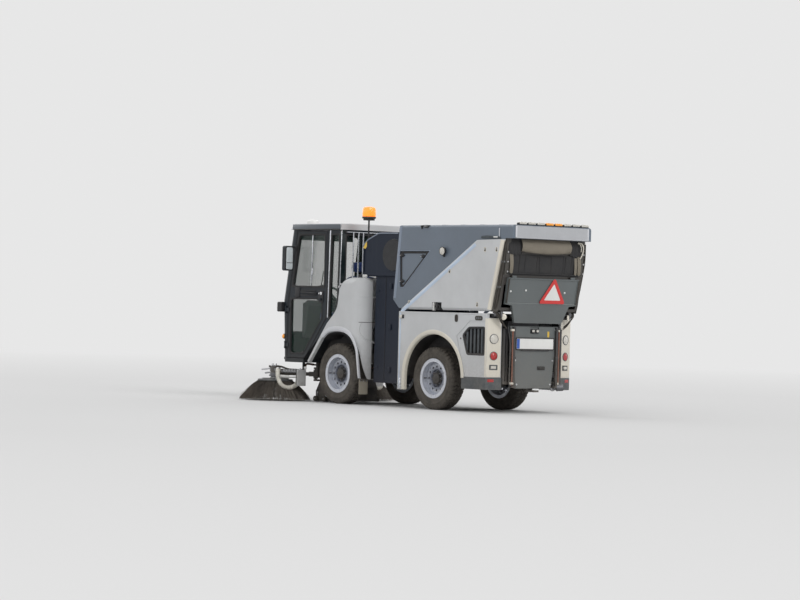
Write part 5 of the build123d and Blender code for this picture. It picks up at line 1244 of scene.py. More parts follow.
# Pale blue strip on the panel's front column: painted sky reflection
columnStrip = softBox((columnX - 0.052, 0.5895, 0.215), (columnX - 0.036, 0.5945, 1.01), 0.003)
piece("panel_front_reflection_strips", eachSide(columnStrip), skyReflectionPaint, "rear_unit")
topBead = softBox((rx - 0.84, 0.588, 1.01), (rx + 0.515, 0.5945, 1.024), 0.003)
piece("panel_top_beads", eachSide(topBead), paints["silver"], "rear_unit")
panelFace = 0.591
tallPlug, widePlug = (rx - 0.395, panelFace, 0.968), (rx - 0.745, panelFace, 0.975)
panelPlugs = [placed(shape, spot, toLeft)
    for shape, spot in ((frameSlab(oval(0.05, 0.078), oval(0.03, 0.056), 0, 0.005, "z", 0.0015), tallPlug),
        (plaque(oval(0.032, 0.058), 0.002, 0.0006), tallPlug),
        (plaque(rectangle(0.01, 0.034, 0.003), 0.005, 0.001), tallPlug),
        (frameSlab(oval(0.116, 0.046), oval(0.098, 0.028), 0, 0.005, "z", 0.0015), widePlug),
        (plaque(oval(0.1, 0.03), 0.002, 0.0006), widePlug))]
piece("panel_plugs", eachSide(panelPlugs), blackRubber, "rear_unit")
plugEyes = [placed(lathe([(0.011, 0.001), (0.011, 0.004), (0.007, 0.005)], steps=16),
        (widePlug[0] + dx, *widePlug[1:]), toLeft) for dx in (-0.03, 0.0, 0.03)]
piece("panel_plug_eyes", eachSide(plugEyes), greyPlastic, "rear_unit")
knob = lathe([(0.02, 0), (0.02, 0.012), (0.016, 0.02), (0.005, 0.022)], (columnX - 0.058, 0.59, 0.968), toLeft, 24)
piece("panel_markers", eachSide(knob), clearLens, "rear_unit")
piece("panel_marker_feet", eachSide(softBox((columnX - 0.104, 0.589, 0.95), (columnX - 0.076, 0.6, 0.99), 0.005)),
    blackPlastic, "rear_unit")
grille = np.array([(-0.503, 0.796), (-0.594, 0.875), (-0.833, 0.88), (-0.837, 0.6), (-0.573, 0.6)]) + (rx, 0)
grilleRing = frameSlab(roundLoop(insetCorners(grille, -0.012), 0.03, 6),
    roundLoop(insetCorners(grille, 0.012), 0.024, 6), 0.58, 0.5925, "y", 0.003)
piece("grille_frames", eachSide(grilleRing), blackPlastic, "rear_unit")
louvreX = np.array([-0.56, -0.617, -0.674, -0.731, -0.788]) + rx
louvreLow, louvreHigh = np.array([0.64, 0.612, 0.612, 0.612, 0.612]), np.array([0.835, 0.862, 0.866, 0.867, 0.868])
beads = [softBox((x - 0.016, 0.57, lo), (x + 0.01, 0.588, hi), 0.008, 4)
    for x, lo, hi in zip(louvreX, louvreLow, louvreHigh)]
piece("grille_louvres", eachSide(beads), slatePlastic, "rear_unit")
piece("grille_dots", eachSide(lathe([(0.009, 0), (0.009, 0.003), (0.005, 0.004)],
            (rx - 0.47, 0.59, 0.76), toLeft, 16)), blackRubber, "rear_unit")
# Cream skins on the lamp panels and the panel corner: painted sunlight
sunlitSkin = placed(plaque(rectangle(0.166, 0.606, 0.012, 5), 0.003, 0.001), panelMiddle + (0, 0, 0.674), panelOut)
sunlitSideSkin = slab(roundLoop([(rx - 0.866, 0.371), (rx - 0.846, 0.371), (rx - 0.846, 0.976), (rx - 0.866, 0.976)],
        0.004, 3), 0.586, 0.5935, "y", 0.002)
piece("lamp_panel_sunlit_skins", eachSide(sunlitSkin) + eachSide(sunlitSideSkin), paints["creamAndSunlit"], "rear_unit")
bracket = [softBox((rx + 0.478, 0.588, 0.205), (rx + 0.502, 0.5965, 0.32), 0.003),
    rod((rx + 0.49, 0.596, 0.3), (rx + 0.49, 0.6, 0.3), 0.007, 12)]
piece("arch_brackets", eachSide(bracket), alloy, "rear_unit")
# Pale front arch lip: painted highlight
piece("front_arch_flanges", eachSide(archLip(archPath, archOut, archWide)),
    paints["lip"], "front_unit")
print("lower panels done")

# Draped flap under the hood, dark curtains beside it, pull strap, screen folds
hoodDrape = {"half": 0.358, "top": 1.797, "low": 1.655, "back": -2.012}


def drapedSheet(left, right, top, low, back, folds, depth, sag, thick=0.004, curl=0.0, tuck=0.0):
    # Hanging sheet: x = back - depth * sin(0.92 pi v) - folds * sin(wave) * v, z = top - (top - low) * v
    u, v = np.meshgrid(np.linspace(-1, 1, 61), np.linspace(0, 1, 17), indexing="ij")
    mid, half = (left + right) / 2, (right - left) / 2
    y = mid + half * u * (1 - 0.03 * v ** 2 * np.abs(u) ** 3) - tuck * np.minimum(u, 0) * (1 - v)
    z = top - (top - low) * v * (1 - sag * np.abs(u) ** 6) - 0.006 * np.cos(3.1 * u) * v
    x = back - depth * np.sin(np.pi * v * 0.92) - folds * np.sin(11 * u
        + 2.3 * v) * v - curl * v ** 2 * np.abs(u) ** 4
    front = np.stack([x, y, z], -1)
    return surface(np.concatenate([front, (front + (thick, 0, 0))[:, ::-1]], 1), closeColumns=True, caps=True)


flapCloth = paint("flapCloth", (0.215, 0.19, 0.15), 0.75, coat=0.0, dust=0.2, streaks=0.7, dustTop=2.6)
drape = piece("outlet_flap_drape", drapedSheet(-hoodDrape["half"], hoodDrape["half"],
        hoodDrape["top"], hoodDrape["low"], hoodDrape["back"], 0.004, 0.026, 0.07, curl=-0.012, tuck=0.04),
    flapCloth, "hopper", sharp=50)
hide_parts("outlet_flap")
curtains = [drapedSheet(0.335, 0.52, 1.797, 1.64, -1.998, 0.006, 0.01, 0.0),
    drapedSheet(-0.52, -0.335, 1.797, 1.64, -1.998, 0.006, 0.01, 0.0)]
piece("outlet_curtains", curtains, curtainRubber, "hopper", sharp=50)
hem = np.linspace(-1, 1, 41)
hemLine = np.stack([-2.02 - 0.01 * np.cos(hem * 1.5), 0.358 * hem * (1 - 0.03 * np.abs(hem) ** 3),
        1.653 + 0.01 * np.abs(hem) ** 6 - 0.006 * np.cos(3.1 * hem)], 1)
piece("outlet_flap_hem", tube(hemLine, 0.0055), blackRubber, "hopper")
strapPath = smoothPath([(-2.02, -0.438, 1.785), (-2.036, -0.47, 1.776),
        (-2.04, -0.492, 1.74), (-2.036, -0.494, 1.69), (-2.02, -0.486, 1.64), (-2.006, -0.478, 1.618)])
strapTwin = smoothPath([(-2.022, -0.43, 1.78), (-2.034, -0.455, 1.764),
        (-2.034, -0.47, 1.73), (-2.022, -0.478, 1.69)])
piece("flap_straps", [tube(strapPath, 0.0065), tube(strapTwin, 0.0045)], paints["creamAndSunlit"], "hopper")
screenFolds = []
for i, y in enumerate((-0.385, -0.3, -0.262, -0.095, 0.06, 0.105, 0.27, 0.345)):
    wide = (0.01, 0.016, 0.008)[i % 3]
    low, high = np.array([-1.962, y, 1.44]), np.array([-1.9845, y + 0.006 * math.sin(i * 2.1), 1.632])
    along = np.linspace(0, 1, 14)[:, None]
    centre = low * (1 - along) + high * along + np.stack(
        [-0.006 * np.ones(14), 0.004 * np.sin(along[:, 0] * 5 + i), np.zeros(14)], 1)
    screenFolds.append(tube(centre, wide * 0.55, 8))
piece("screen_folds", screenFolds, curtainRubber, "hopper")
sidePads = [drapedSheet(0.448, 0.494, 1.648, 1.446, -1.99, 0.003, 0.01, 0.0),
    drapedSheet(-0.455, -0.418, 1.64, 1.446, -1.986, 0.002, 0.008, 0.0),
    drapedSheet(-0.502, -0.458, 1.65, 1.446, -1.992, 0.003, 0.01, 0.0)]
piece("outlet_side_pads", sidePads, flapCloth, "hopper", sharp=50)
piece("outlet_lip", softBox((-1.988, -0.52, 1.438), (-1.958, 0.52, 1.45), 0.005, 4), curtainRubber, "hopper")
bolted = [(-2.009, side * 0.532, z) for sideName, side in sides for z in (1.46, 1.56, 1.66)]
piece("outlet_frame_bolts",
    bolts([(x + 0.006 * (1.66 - z) / 0.2, y, z) for x, y, z in bolted], toRear, 0.006, 0.005), steel, "hopper")
# Hood: rolled lower lip, and pale strips down its rounded corners as a painted highlight
piece("hood_lip", rod((-2.0925, -0.512, 1.809), (-2.0925, 0.512, 1.809), 0.0065, 14), paints["hood"], "hopper")
# Pale strips down the hood's rounded corners: painted highlight
piece("hood_corner_highlights", eachSide(softBox((-2.0985, 0.494, 1.812), (-2.09, 0.5165, 1.926), 0.004, 4)),
    paints["lip"], "hopper")

# Hopper sides: hooks, a dark pad on the cover top as painted shadow with a white clip as painted highlight, aerial;
# dark strips in the recess as painted shade and a light edge line as painted highlight; a dark skin at the rear as
# painted shade, hoses and clips
topZ = 1.94
hooks = [softBox((rx + 0.115, 0.52, topZ - 0.012), (rx + 0.25, 0.558, topZ - 0.002), 0.004),
    pipe([(rx + 0.13, 0.548, topZ - 0.022), (rx + 0.15, 0.566, topZ - 0.026),
            (rx + 0.19, 0.566, topZ - 0.018), (rx + 0.215, 0.552, topZ - 0.016)], 0.006, perRun=6),
    rod((rx + 0.235, 0.552, topZ - 0.04), (rx + 0.235, 0.562, topZ - 0.006), 0.01, 14)]
piece("hopper_hooks", eachSide(hooks), blackPlastic, "hopper")
piece("hopper_hook_pins",
    eachSide(rod((rx + 0.15, 0.556, topZ - 0.012), (rx + 0.19, 0.566, topZ - 0.012), 0.004, 8)), steel, "hopper")
coverTopX = rx - 0.86
# Dark pad on the cover's top edge: painted shadow of the gap there; white clip beside it: painted highlight
topShadowPad = slab(roundLoop([(coverTopX - 0.155, 1.792), (coverTopX + 0.15, 1.8), (coverTopX + 0.145, 1.822),
            (coverTopX + 0.06, 1.828), (coverTopX - 0.14, 1.818)], 0.012), 0.55, 0.5655, "y", 0.004)
piece("cover_top_shadow_pad", eachSide(topShadowPad), slatePlastic, "hopper")
piece("cover_top_highlight_clip", eachSide(softBox((coverTopX - 0.11, 0.56, 1.806), (coverTopX - 0.05, 0.571, 1.819), 0.004)),
    paints["white"], "hopper")
piece("hopper_aerial", eachSide(rod((rx - 0.99, 0.5585, 1.8), (rx - 0.99, 0.5585, 1.905), 0.0045)),
    paints["lip"], "hopper")
recess = np.array([(0.591, 1.665), (0.103, 1.666), (0.518, 1.282), (0.576, 1.282)]) + (rx, 0)
# Dark strips inside the recess's edges: painted shade of its depth
recessShadeRing = frameSlab(roundLoop(insetCorners(recess, 0.001), 0.012),
    roundLoop(insetCorners(recess, 0.026), 0.012), 0.5395, 0.543, "y", 0.001)
piece("recess_shade_strips", eachSide(recessShadeRing), curtainRubber, "hopper")
# Pale line round the recess's outer edge: painted highlight
recessHighlightRing = frameSlab(roundLoop(insetCorners(recess, -0.006), 0.012),
    roundLoop(insetCorners(recess, -0.0005), 0.012), 0.551, 0.554, "y", 0.0008)
piece("recess_edge_highlights", eachSide(recessHighlightRing), edgeHighlightPaint, "hopper")
# Dark taupe skin behind the cover's rear edge: painted shade
rearShadeBand = [(-1.116, 1.796), (-1.083, 1.796), (-0.885, 1.046),
    (-0.985, 1.046), (-1.009, 1.126), (-1.054, 1.404), (-1.09, 1.795)]
piece("hopper_rear_shade_skins", eachSide(slab(np.array(rearShadeBand) + (rx, 0), 0.5505, 0.555, "y", 0.001)),
    paints["taupe"], "hopper")
hopperHoses = []
for offset, radius in ((0.0, 0.0085), (0.02, 0.007)):
    hopperHoses.append(pipe([(rx - 1.098 + offset, 0.556, 1.77), (rx - 1.083 + offset, 0.566, 1.6),
                (rx - 1.05 + offset, 0.568, 1.43), (rx - 1.01 + offset, 0.566, 1.26),
                (rx - 0.975 + offset, 0.564, 1.13), (rx - 0.955 + offset, 0.55, 1.07)], radius))
piece("hopper_rear_hoses", eachSide(hopperHoses), blackRubber, "hopper")
clips = [softBox((x - 0.014, 0.5545, z - 0.01), (x + 0.036, 0.572, z + 0.01), 0.004)
    for x, z in ((rx - 1.075, 1.56), (rx - 1.018, 1.3))]
piece("hopper_hose_clips", eachSide(clips), greyPlastic, "hopper")
# Hinge cluster at the hopper's rear foot: lugs, pin ends, grommet discs, short hoses
lugs = [softBox((-1.88, 0.47, 0.985), (-1.806, 0.492, 1.052), 0.008, 4),
    rod((-1.843, 0.44, 1.02), (-1.843, 0.548, 1.02), 0.017, 22),
    softBox((-1.87, 0.5, 1.0), (-1.812, 0.515, 1.046), 0.008, 4)]
piece("hinge_lugs", eachSide(lugs), castIron, "rear_unit")
disc = lathe([(0.034, 0.0), (0.034, 0.006), (0.026, 0.011), (0.012, 0.012)],
    (-1.872, 0.455, 0.995), (-0.85, 0.5, 0.1), 28)
piece("hinge_discs", eachSide(disc), paints["creamAndSunlit"], "rear_unit")
coils = [pipe([(-1.8, 0.53, 1.038), (-1.838, 0.552, 1.046),
            (-1.866, 0.54, 1.022), (-1.87, 0.51, 0.985), (-1.86, 0.47, 0.94), (-1.85, 0.42, 0.9)], 0.008),
    pipe([(-1.795, 0.515, 1.042), (-1.842, 0.528, 1.052),
            (-1.88, 0.505, 1.0), (-1.872, 0.45, 0.92), (-1.862, 0.4, 0.88)], 0.0065)]
piece("hinge_hoses", eachSide(coils), blackRubber, "rear_unit")
print("hopper rear done")

# Filler neck and knob on the fender tops, tape on the housing corner, fan guard, pale housing top edges as a
# painted highlight, and seams
piece("fender_knobs", eachSide(rod((fx - 0.298, 0.5, 1.372), (fx - 0.298, 0.5, 1.412), 0.019, 22)),
    blackPlastic, "front_unit")
piece("fender_caps", eachSide(lathe([(0.012, 0.0), (0.012, 0.022), (0.019, 0.024), (0.02, 0.04), (0.012, 0.046)],
            (fx - 0.345, 0.47, 1.366), steps=24)), paints["white"], "front_unit")
piece("housing_tape", eachSide(slab(np.array([(0.398, 1.7), (0.372, 1.742), (0.338, 1.769),
            (0.338, 1.715), (0.36, 1.69)]), 0.4695, 0.4718, "y", 0.0006)), paints["yellow"], "rear_unit")
fanGuard = {"middle": np.array([-0.124, 0.47, 1.625]),
    "rings": (0.17, 0.142, 0.114, 0.086, 0.058), "wire": 0.0035, "spokes": 8}
fan, wire = fanGuard["middle"], fanGuard["wire"]
fanRings = [lathe([(r - wire, 0.0), (r, 0.005), (r + wire, 0.0)], fan, toLeft, 64, closed=True)
    for r in fanGuard["rings"]]
for a in np.arange(fanGuard["spokes"]) * 2 * np.pi / fanGuard["spokes"] + 0.2:
    spoke = np.array((math.cos(a), 0, math.sin(a)))
    fanRings.append(rod(fan + 0.03 * spoke, fan + fanGuard["rings"][0] * spoke, wire, 8))
fanRings.append(lathe([(0.036, -0.002), (0.036, 0.006), (0.028, 0.01), (0.008, 0.011)], fan, toLeft, 32))
piece("fan_guards", eachSide(fanRings), slatePlastic, "rear_unit")
# Pale line along the housing's top edge: painted highlight
housingTop = smoothPath([(0.405, 0.4685, 1.721), (0.326, 0.4685, 1.785),
        (0.189, 0.4685, 1.839), (0.121, 0.4685, 1.858), (-0.18, 0.4685, 1.858)], 6)
piece("housing_edge_highlights", eachSide(tube(housingTop, 0.006, 8)), edgeHighlightPaint, "rear_unit")
seam = [rod((x, 0.4405, 0.275), (x, 0.4405, 1.385), 0.003, 8) for x in (0.03, -0.2)]
piece("housing_seams", eachSide(seam), curtainRubber, "rear_unit")
print("housing fittings done")

# Cab trims: dark bonded corners, graphite roof sides, light corner line
cornerX = fx + 0.01
trims = [leaning(softBox((cornerX, 0.544, 0.935), (cornerX + 0.0305, 0.5475, 1.893), 0.0015)),
         softBox((cornerX - 0.0025, 0.4735, 1.115), (cornerX + 0.0005, 0.53, 1.893), 0.0015)]
frit = plastic("darkFrit", (0.01, 0.016, 0.017), 0.1, grain=900.0, dust=0.12)
piece("cab_corner_frits", eachSide(trims), frit, "front_unit")
piece("cab_corner_lines",
    eachSide(leaning(softBox((cornerX - 0.003, 0.5425, 1.115), (cornerX + 0.004, 0.5485, 1.893), 0.002))),
    alloy, "front_unit")
piece("roof_side_bands", eachSide(softBox((fx + 0.004, 0.556, 1.9), (fx + 0.842, 0.561, 1.956), 0.002)),
    paints["band"], "front_unit")
piece("roof_gutters", eachSide(rod((fx + 0.01, 0.556, 1.9035), (fx + 0.836, 0.556, 1.9035), 0.0055)),
    blackRubber, "front_unit")

# Fender creases: recess outline below the seam, raised edge beads and the notches at the rear edge
def onCorner(turns, heights, lift):
    # Points round the fender's rear corner: centre + (radius + lift) * (-sin, cos), then along the flat rear face
    turns, heights = np.array(turns, float), np.array(heights, float)
    bend = np.minimum(turns, np.pi / 2)
    places = cornerCentre + (fender["radius"] + lift) * np.stack([-np.sin(bend), np.cos(bend)], 1)
    places[:, 1] -= np.maximum(turns - np.pi / 2, 0)
    return np.insert(places, 2, heights, axis=1)


recessLine = smoothPath(onCorner([0.8, 0.72, 0.7, 0.76, 0.95, 1.25, 1.62, 1.7],
        [0.886, 0.85, 0.81, 0.768, 0.735, 0.708, 0.672, 0.65], -0.0045))
piece("fender_creases", eachSide(tube(recessLine, 0.0095, 12)), paints["silver"], "front_unit")
upperLine = smoothPath(onCorner([0.62, 0.9, 1.25, 1.6, 1.72], [1.163, 1.164, 1.166, 1.167, 1.167], -0.006))
piece("fender_folds", eachSide(tube(upperLine, 0.009, 12)), paints["silver"], "front_unit")
notches = [softBox((rearFace - 0.004, 0.214, z), (rearFace + 0.01, 0.226, z + 0.028), 0.003) for z in (0.948, 0.8)]
piece("fender_notches", eachSide(notches), blackRubber, "front_unit")

# Broom gear over each brush: motor head, springs, link bars, hose loop, side box, small cylinder
hosePaint = plastic("paleHose", (0.62, 0.6, 0.54), 0.55, grain=400.0, dust=0.25, dustTop=0.6)
brushSpot = (1.696, 0.62)
for sideName, side in sides:
    arm = f"{sideName}_arm_body"
    hub = np.array([*brushSpot, 0.0])
    head = [lathe([(0.042, 0.256), (0.058, 0.262), (0.06, 0.3), (0.054, 0.306),
                (0.054, 0.352), (0.048, 0.362), (0.048, 0.38), (0.04, 0.388), (0.01, 0.39)], hub, steps=32),
        softBox(hub + (-0.046, -0.046, 0.318), hub + (0.046, 0.046, 0.346), 0.006)]
    piece(f"{sideName}_motor_head", onSide(head, side), castIron, arm)
    ports = [rod(hub + (0.03, 0.02, 0.384), hub + (0.03, 0.02, 0.408), 0.011, 12),
        rod(hub + (-0.03, 0.02, 0.384), hub + (-0.03, 0.02, 0.408), 0.011, 12),
        bolts([hub + (0.036 * sx, -0.034 * sy, 0.346) for sx in (-1, 1) for sy in (-1, 1)], upward, 0.006, 0.007)]
    piece(f"{sideName}_motor_ports", onSide(ports, side), chrome, arm)
    hoseA = smoothPath([hub + (0.046, 0.024, 0.37), hub + (0.08, 0.022, 0.375), hub + (0.098, -0.03, 0.362),
            hub + (0.056, -0.1, 0.338), hub + (-0.05, -0.16, 0.33), (1.532, 0.424, 0.34), (1.512, 0.426, 0.338)])
    hoseB = smoothPath([hub + (-0.044, 0.03, 0.37), hub + (-0.08, 0.04, 0.376),
            hub + (-0.112, 0.004, 0.374), hub + (-0.138, -0.068, 0.35), (1.535, 0.458, 0.344), (1.51, 0.436, 0.34)])
    piece(f"{sideName}_motor_hoses", onSide([tube(hoseA, 0.0105, 12), tube(hoseB, 0.0105, 12)], side),
        blackRubber, arm)
    manifold = [softBox((1.478, 0.404, 0.318), (1.516, 0.444, 0.352), 0.005),
        rod((1.497, 0.424, 0.35), (1.497, 0.424, 0.362), 0.008, 12)]
    piece(f"{sideName}_manifold", onSide(manifold, side), alloy, arm)
    # Water hose: pale ribbed loop hanging beside the brush
    loop = smoothPath([(1.56, 0.69, 0.345), (1.52, 0.725, 0.322),
            (1.496, 0.735, 0.255), (1.468, 0.722, 0.19), (1.44, 0.69, 0.156),
            (1.42, 0.64, 0.148), (1.412, 0.59, 0.158), (1.412, 0.548, 0.18), (1.412, 0.522, 0.215)], 10)
    piece(f"{sideName}_water_hose", onSide(tube(loop, 0.0235, 16, ribs=30, ribDepth=0.16), side), hosePaint, arm)
    clamps = [tube(np.array([(1.556, 0.693, 0.344), (1.543, 0.704, 0.338)]), 0.027, 16),
        tube(np.array([(1.4125, 0.527, 0.208), (1.4125, 0.521, 0.222)]), 0.027, 16)]
    piece(f"{sideName}_hose_clamps", onSide(clamps, side), steel, arm)
    # Springs and link bars reaching outwards over the brush
    bars = []
    for i, (lift, reach) in enumerate(((0.352, 0.13), (0.312, 0.12), (0.286, 0.095))):
        start = hub + (0.055, 0.03 - 0.05 * i, lift)
        bars.append(rod(start, start + (reach, 0.02 + 0.01 * i, -0.014), 0.0105, 12))
    piece(f"{sideName}_link_bars", onSide(bars, side), paints["lip"], arm)
    turns = np.linspace(0, 2 * np.pi * 11, 220)
    line = np.linspace(0, 1, 220)
    base, tip = np.array([1.612, 0.562, 0.322]), np.array([1.468, 0.432, 0.322])
    sideways, lifted = acrossAxes(tip - base)
    coil = base + (tip - base) * line[:, None] + 0.019 * (np.cos(turns)[:, None] * sideways
        + np.sin(turns)[:, None] * lifted)
    springs = tube(coil + (0, 0.03, 0.01), 0.0044, 8)
    piece(f"{sideName}_arm_spring", onSide([springs], side), paints["lip"], arm)
    stays = [rod(base + (0.02, 0.05, 0.01), base + (-0.004, 0.026, 0.01), 0.013, 14),
        rod(tip + (-0.02, 0.01, 0.01), tip + (0.004, 0.034, 0.01), 0.013, 14),
        softBox((1.612, 0.572, 0.3), (1.64, 0.612, 0.35), 0.006),
        softBox((1.438, 0.412, 0.3), (1.464, 0.452, 0.352), 0.006)]
    piece(f"{sideName}_spring_ends", onSide(stays, side), paints["chassis"], arm)
    cylinder = [rod((1.6, 0.64, 0.268), (1.52, 0.566, 0.262), 0.019, 18),
        rod((1.52, 0.566, 0.262), (1.455, 0.506, 0.262), 0.009, 12)]
    piece(f"{sideName}_small_cylinder", onSide(cylinder, side), paints["white"], arm)
    # Box and purple-brown tube beside the splash plate
    box = [softBox((1.316, 0.5, 0.182), (1.346, 0.61, 0.345), 0.006),
        softBox((1.33, 0.48, 0.34), (1.352, 0.5, 0.38), 0.004)]
    piece(f"{sideName}_splash_box", onSide(box, side), paints["cab"], "front_unit")
    plateBolts = [(1.301, y, z) for y in (0.515, 0.605) for z in (0.188, 0.332)]
    piece(f"{sideName}_splash_bolts", onSide(bolts(plateBolts, toRear, 0.006, 0.005), side), steel, "front_unit")
    piece(f"{sideName}_feed_tube",
        onSide(pipe([(1.33, 0.49, 0.372), (1.38, 0.44, 0.408), (1.42, 0.37, 0.412), (1.42, 0.3, 0.406)], 0.012, 12),
            side), wornRed, "front_unit")
    piece(f"{sideName}_feed_fitting", onSide(lathe([(0.018, 0), (0.018, 0.02), (0.013, 0.024), (0.013, 0.038)],
                (1.326, 0.496, 0.364), (-0.5, 0.4, 0.2), 20), side), paints["white"], "front_unit")
print("broom gear done")

# Exhaust elbow, hoses under the chassis, and curved hoses across the joint between the two halves
piece("exhaust_tail",
    lathe([(0.034, -0.04), (0.037, -0.036), (0.037, 0.03), (0.035, 0.034), (0.031, 0.032), (0.031, -0.03)],
        (-1.885, -0.352, 0.272), (-0.62, -0.78, 0.08), 36, closed=True), castIron, "rear_unit")
piece("exhaust_clamp",
    [lathe([(0.033, -0.01), (0.036, -0.008), (0.036, 0.008), (0.033, 0.01)], (-1.8, -0.33, 0.266), toFront, 36),
        softBox((-1.808, -0.306, 0.29), (-1.792, -0.286, 0.33), 0.004)], steel, "rear_unit")
linesUnder = []
for i in range(4):
    y, z = 0.12 - 0.03 * i, 0.52 + 0.012 * (i % 2)
    linesUnder.append(pipe([(-1.1, y, z), (-0.8, y + 0.01, z - 0.02), (-0.5, y - 0.02, z + 0.01), (-0.3, y, z)],
            0.009, 8))
piece("chassis_hoses", linesUnder, blackRubber, "rear_unit")
for i, (y, z) in enumerate(((0.105, 0.47), (0.07, 0.488), (0.035, 0.476), (-0.06, 0.484), (-0.095, 0.47))):
    sway = 0.012 * math.sin(i * 2.0)
    route = smoothPath([(-0.33, y, z + 0.02), (-0.25, y + sway, z - 0.02),
            (-0.109, y + 1.5 * sway, z - 0.045), (0.03, y + sway, z - 0.022), (0.11, y, z + 0.012)], 10)
    link = piece(f"joint_hose_{i + 1}", tube(route, 0.0105, ribs=0), blackRubber, None)
    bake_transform(link)
print("hoses done")

# Seat: crowned cushion and backrest with sewn channels, headrest, belt, armrests with joystick and keys
seatSet = {"power": 0.42, "channel": 0.0065, "subdivision": 1}


def crownedPad(low, high, axis, channels, lean=0.0, steps=(64, 33)):
    # Super-ellipsoid: cosines raised to a power; channels sink as exp(-((y - line) / width) ^ 2) on one face
    low, high = np.array(low, float), np.array(high, float)
    turn, rise = np.meshgrid(np.linspace(0, 2 * np.pi, steps[0], endpoint=False),
        np.linspace(-np.pi / 2 * 0.995, np.pi / 2 * 0.995, steps[1]))

    def bent(value):
        return np.sign(value) * np.abs(value) ** seatSet["power"]

    d = np.stack([bent(np.cos(rise)) * bent(np.cos(turn)),
            bent(np.cos(rise)) * bent(np.sin(turn)), bent(np.sin(rise))], -1)
    pinch = 1 - 0.035 * np.cos(np.pi * d[..., 1]) * np.abs(d[..., 0]) ** 2
    places = (low + high) / 2 + d * (high - low) / 2 * np.stack([np.ones_like(pinch), pinch, np.ones_like(pinch)],
        -1)
    sink = sum(np.exp(-((places[..., 1] - line) / 0.007) ** 2)
        for line in channels) * np.clip(d[..., axis], 0, 1) ** 2
    places[..., axis] -= seatSet["channel"] * sink
    places[..., 0] -= lean * (places[..., 2] - low[2])
    return surface(places, closeColumns=True, caps=True)


def softPiece(name, shape, material):
    pad = piece(name, shape, material, "front_unit", sharp=80)
    finer = pad.modifiers.new("finer", "SUBSURF")
    finer.levels = finer.render_levels = seatSet["subdivision"]
    return pad


cushion = softPiece("seat_cushion",
    crownedPad((fx + 0.385, -0.228, 0.884), (fx + 0.795, 0.228, 0.996), 2, (-0.12, 0.0, 0.12)), seatCloth)
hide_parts("seat")
softPiece("seat_back", crownedPad((fx + 0.3, -0.216, 0.96),
        (fx + 0.402, 0.216, 1.4), 0, (-0.11, 0.0, 0.11), lean=0.125), seatCloth)
softPiece("seat_headrest", crownedPad((fx + 0.252, -0.13, 1.44), (fx + 0.338, 0.13, 1.556), 0, (), lean=0.06),
    seatCloth)
posts = [rod((fx + 0.3, y, 1.36), (fx + 0.292, y, 1.455), 0.006) for y in (-0.06, 0.06)]
posts += [rod((fx + 0.33, y, 0.9), (fx + 0.47, y, 0.9), 0.014, 12) for y in (-0.15, 0.15)]
piece("seat_stays", posts, steel, "front_unit")
rests = [softBox((fx + 0.42, y - 0.028, 1.12), (fx + 0.72, y + 0.028, 1.158), 0.014, 5) for y in (-0.272, 0.272)]
rests += [pipe([(fx + 0.35, 0.245 * side, 0.96), (fx + 0.38, 0.27 * side, 1.04), (fx + 0.44, 0.272 * side, 1.125)],
        0.013, 12, perRun=6) for sideName, side in sides]
rests.append(softBox((fx + 0.64, -0.33, 1.07), (fx + 0.78, -0.262, 1.15), 0.012, 4))
piece("seat_armrests", rests, blackPlastic, "front_unit")
stickBase = np.array([fx + 0.725, -0.296, 1.15])
piece("seat_joystick", lathe([(0.03, -0.004), (0.026, 0.01), (0.018, 0.026), (0.009, 0.04), (0.008, 0.07),
            (0.017, 0.082), (0.02, 0.105), (0.016, 0.128), (0.005, 0.132)], stickBase, (0.12, 0, 1), 20),
    blackRubber, "front_unit")
piece("seat_keys", [softBox(stickBase + (-0.06 + 0.018 * i, -0.012, -0.002),
            stickBase + (-0.048 + 0.018 * i, 0.012, 0.006), 0.002) for i in range(2)]
    + [softBox((fx + 0.655 + 0.016 * i, -0.318, 1.148), (fx + 0.666 + 0.016 * i, -0.304, 1.154), 0.002)
        for i in range(2)], paints["yellow"], "front_unit")
beltPath = smoothPath([(fx + 0.33, 0.238, 0.93), (fx + 0.45, 0.236, 1.004),
        (fx + 0.5, 0.15, 1.012), (fx + 0.51, 0.0, 1.012)])
piece("seat_belt", [tube(beltPath, 0.006, 8), softBox((fx + 0.35, -0.252, 0.96), (fx + 0.38, -0.236, 1.01), 0.004)],
    blackRubber, "front_unit")
# Blank display on its arm, pedals, sun visor, floor mat
piece("cab_display", [softBox((fx + 0.8, -0.395, 1.18), (fx + 0.826, -0.265, 1.29), 0.008, 4),
        rod((fx + 0.815, -0.33, 1.06), (fx + 0.815, -0.33, 1.19), 0.009, 12)], blackPlastic, "front_unit")
piece("cab_display_face", softBox((fx + 0.797, -0.385, 1.19), (fx + 0.802, -0.275, 1.28), 0.002),
    frit, "front_unit")
pedals = [placed(plaque(rectangle(0.07, 0.11, 0.01), 0.01, 0.003), (fx + 0.88, y, 0.56), (-0.86, 0, 0.5))
    for y in (-0.12, 0.05)]
pedals += [rod((fx + 0.885, y, 0.545), (fx + 0.93, y, 0.7), 0.008) for y in (-0.12, 0.05)]
piece("cab_pedals", pedals, blackRubber, "front_unit")
matRibs = [softBox((fx + 0.64, -0.4 + 0.05 * i, 0.4755), (fx + 0.94, -0.382 + 0.05 * i, 0.481), 0.002)
    for i in range(17)]
piece("cab_mat", matRibs, blackRubber, "front_unit")
piece("sun_visor", slab(roundLoop([(-0.38, 1.79), (0.38, 1.79), (0.37, 1.868), (-0.37, 1.868)], 0.015),
        fx + 0.905, fx + 0.91, "x", 0.0015), slatePlastic, "front_unit")
print("cab inside done")

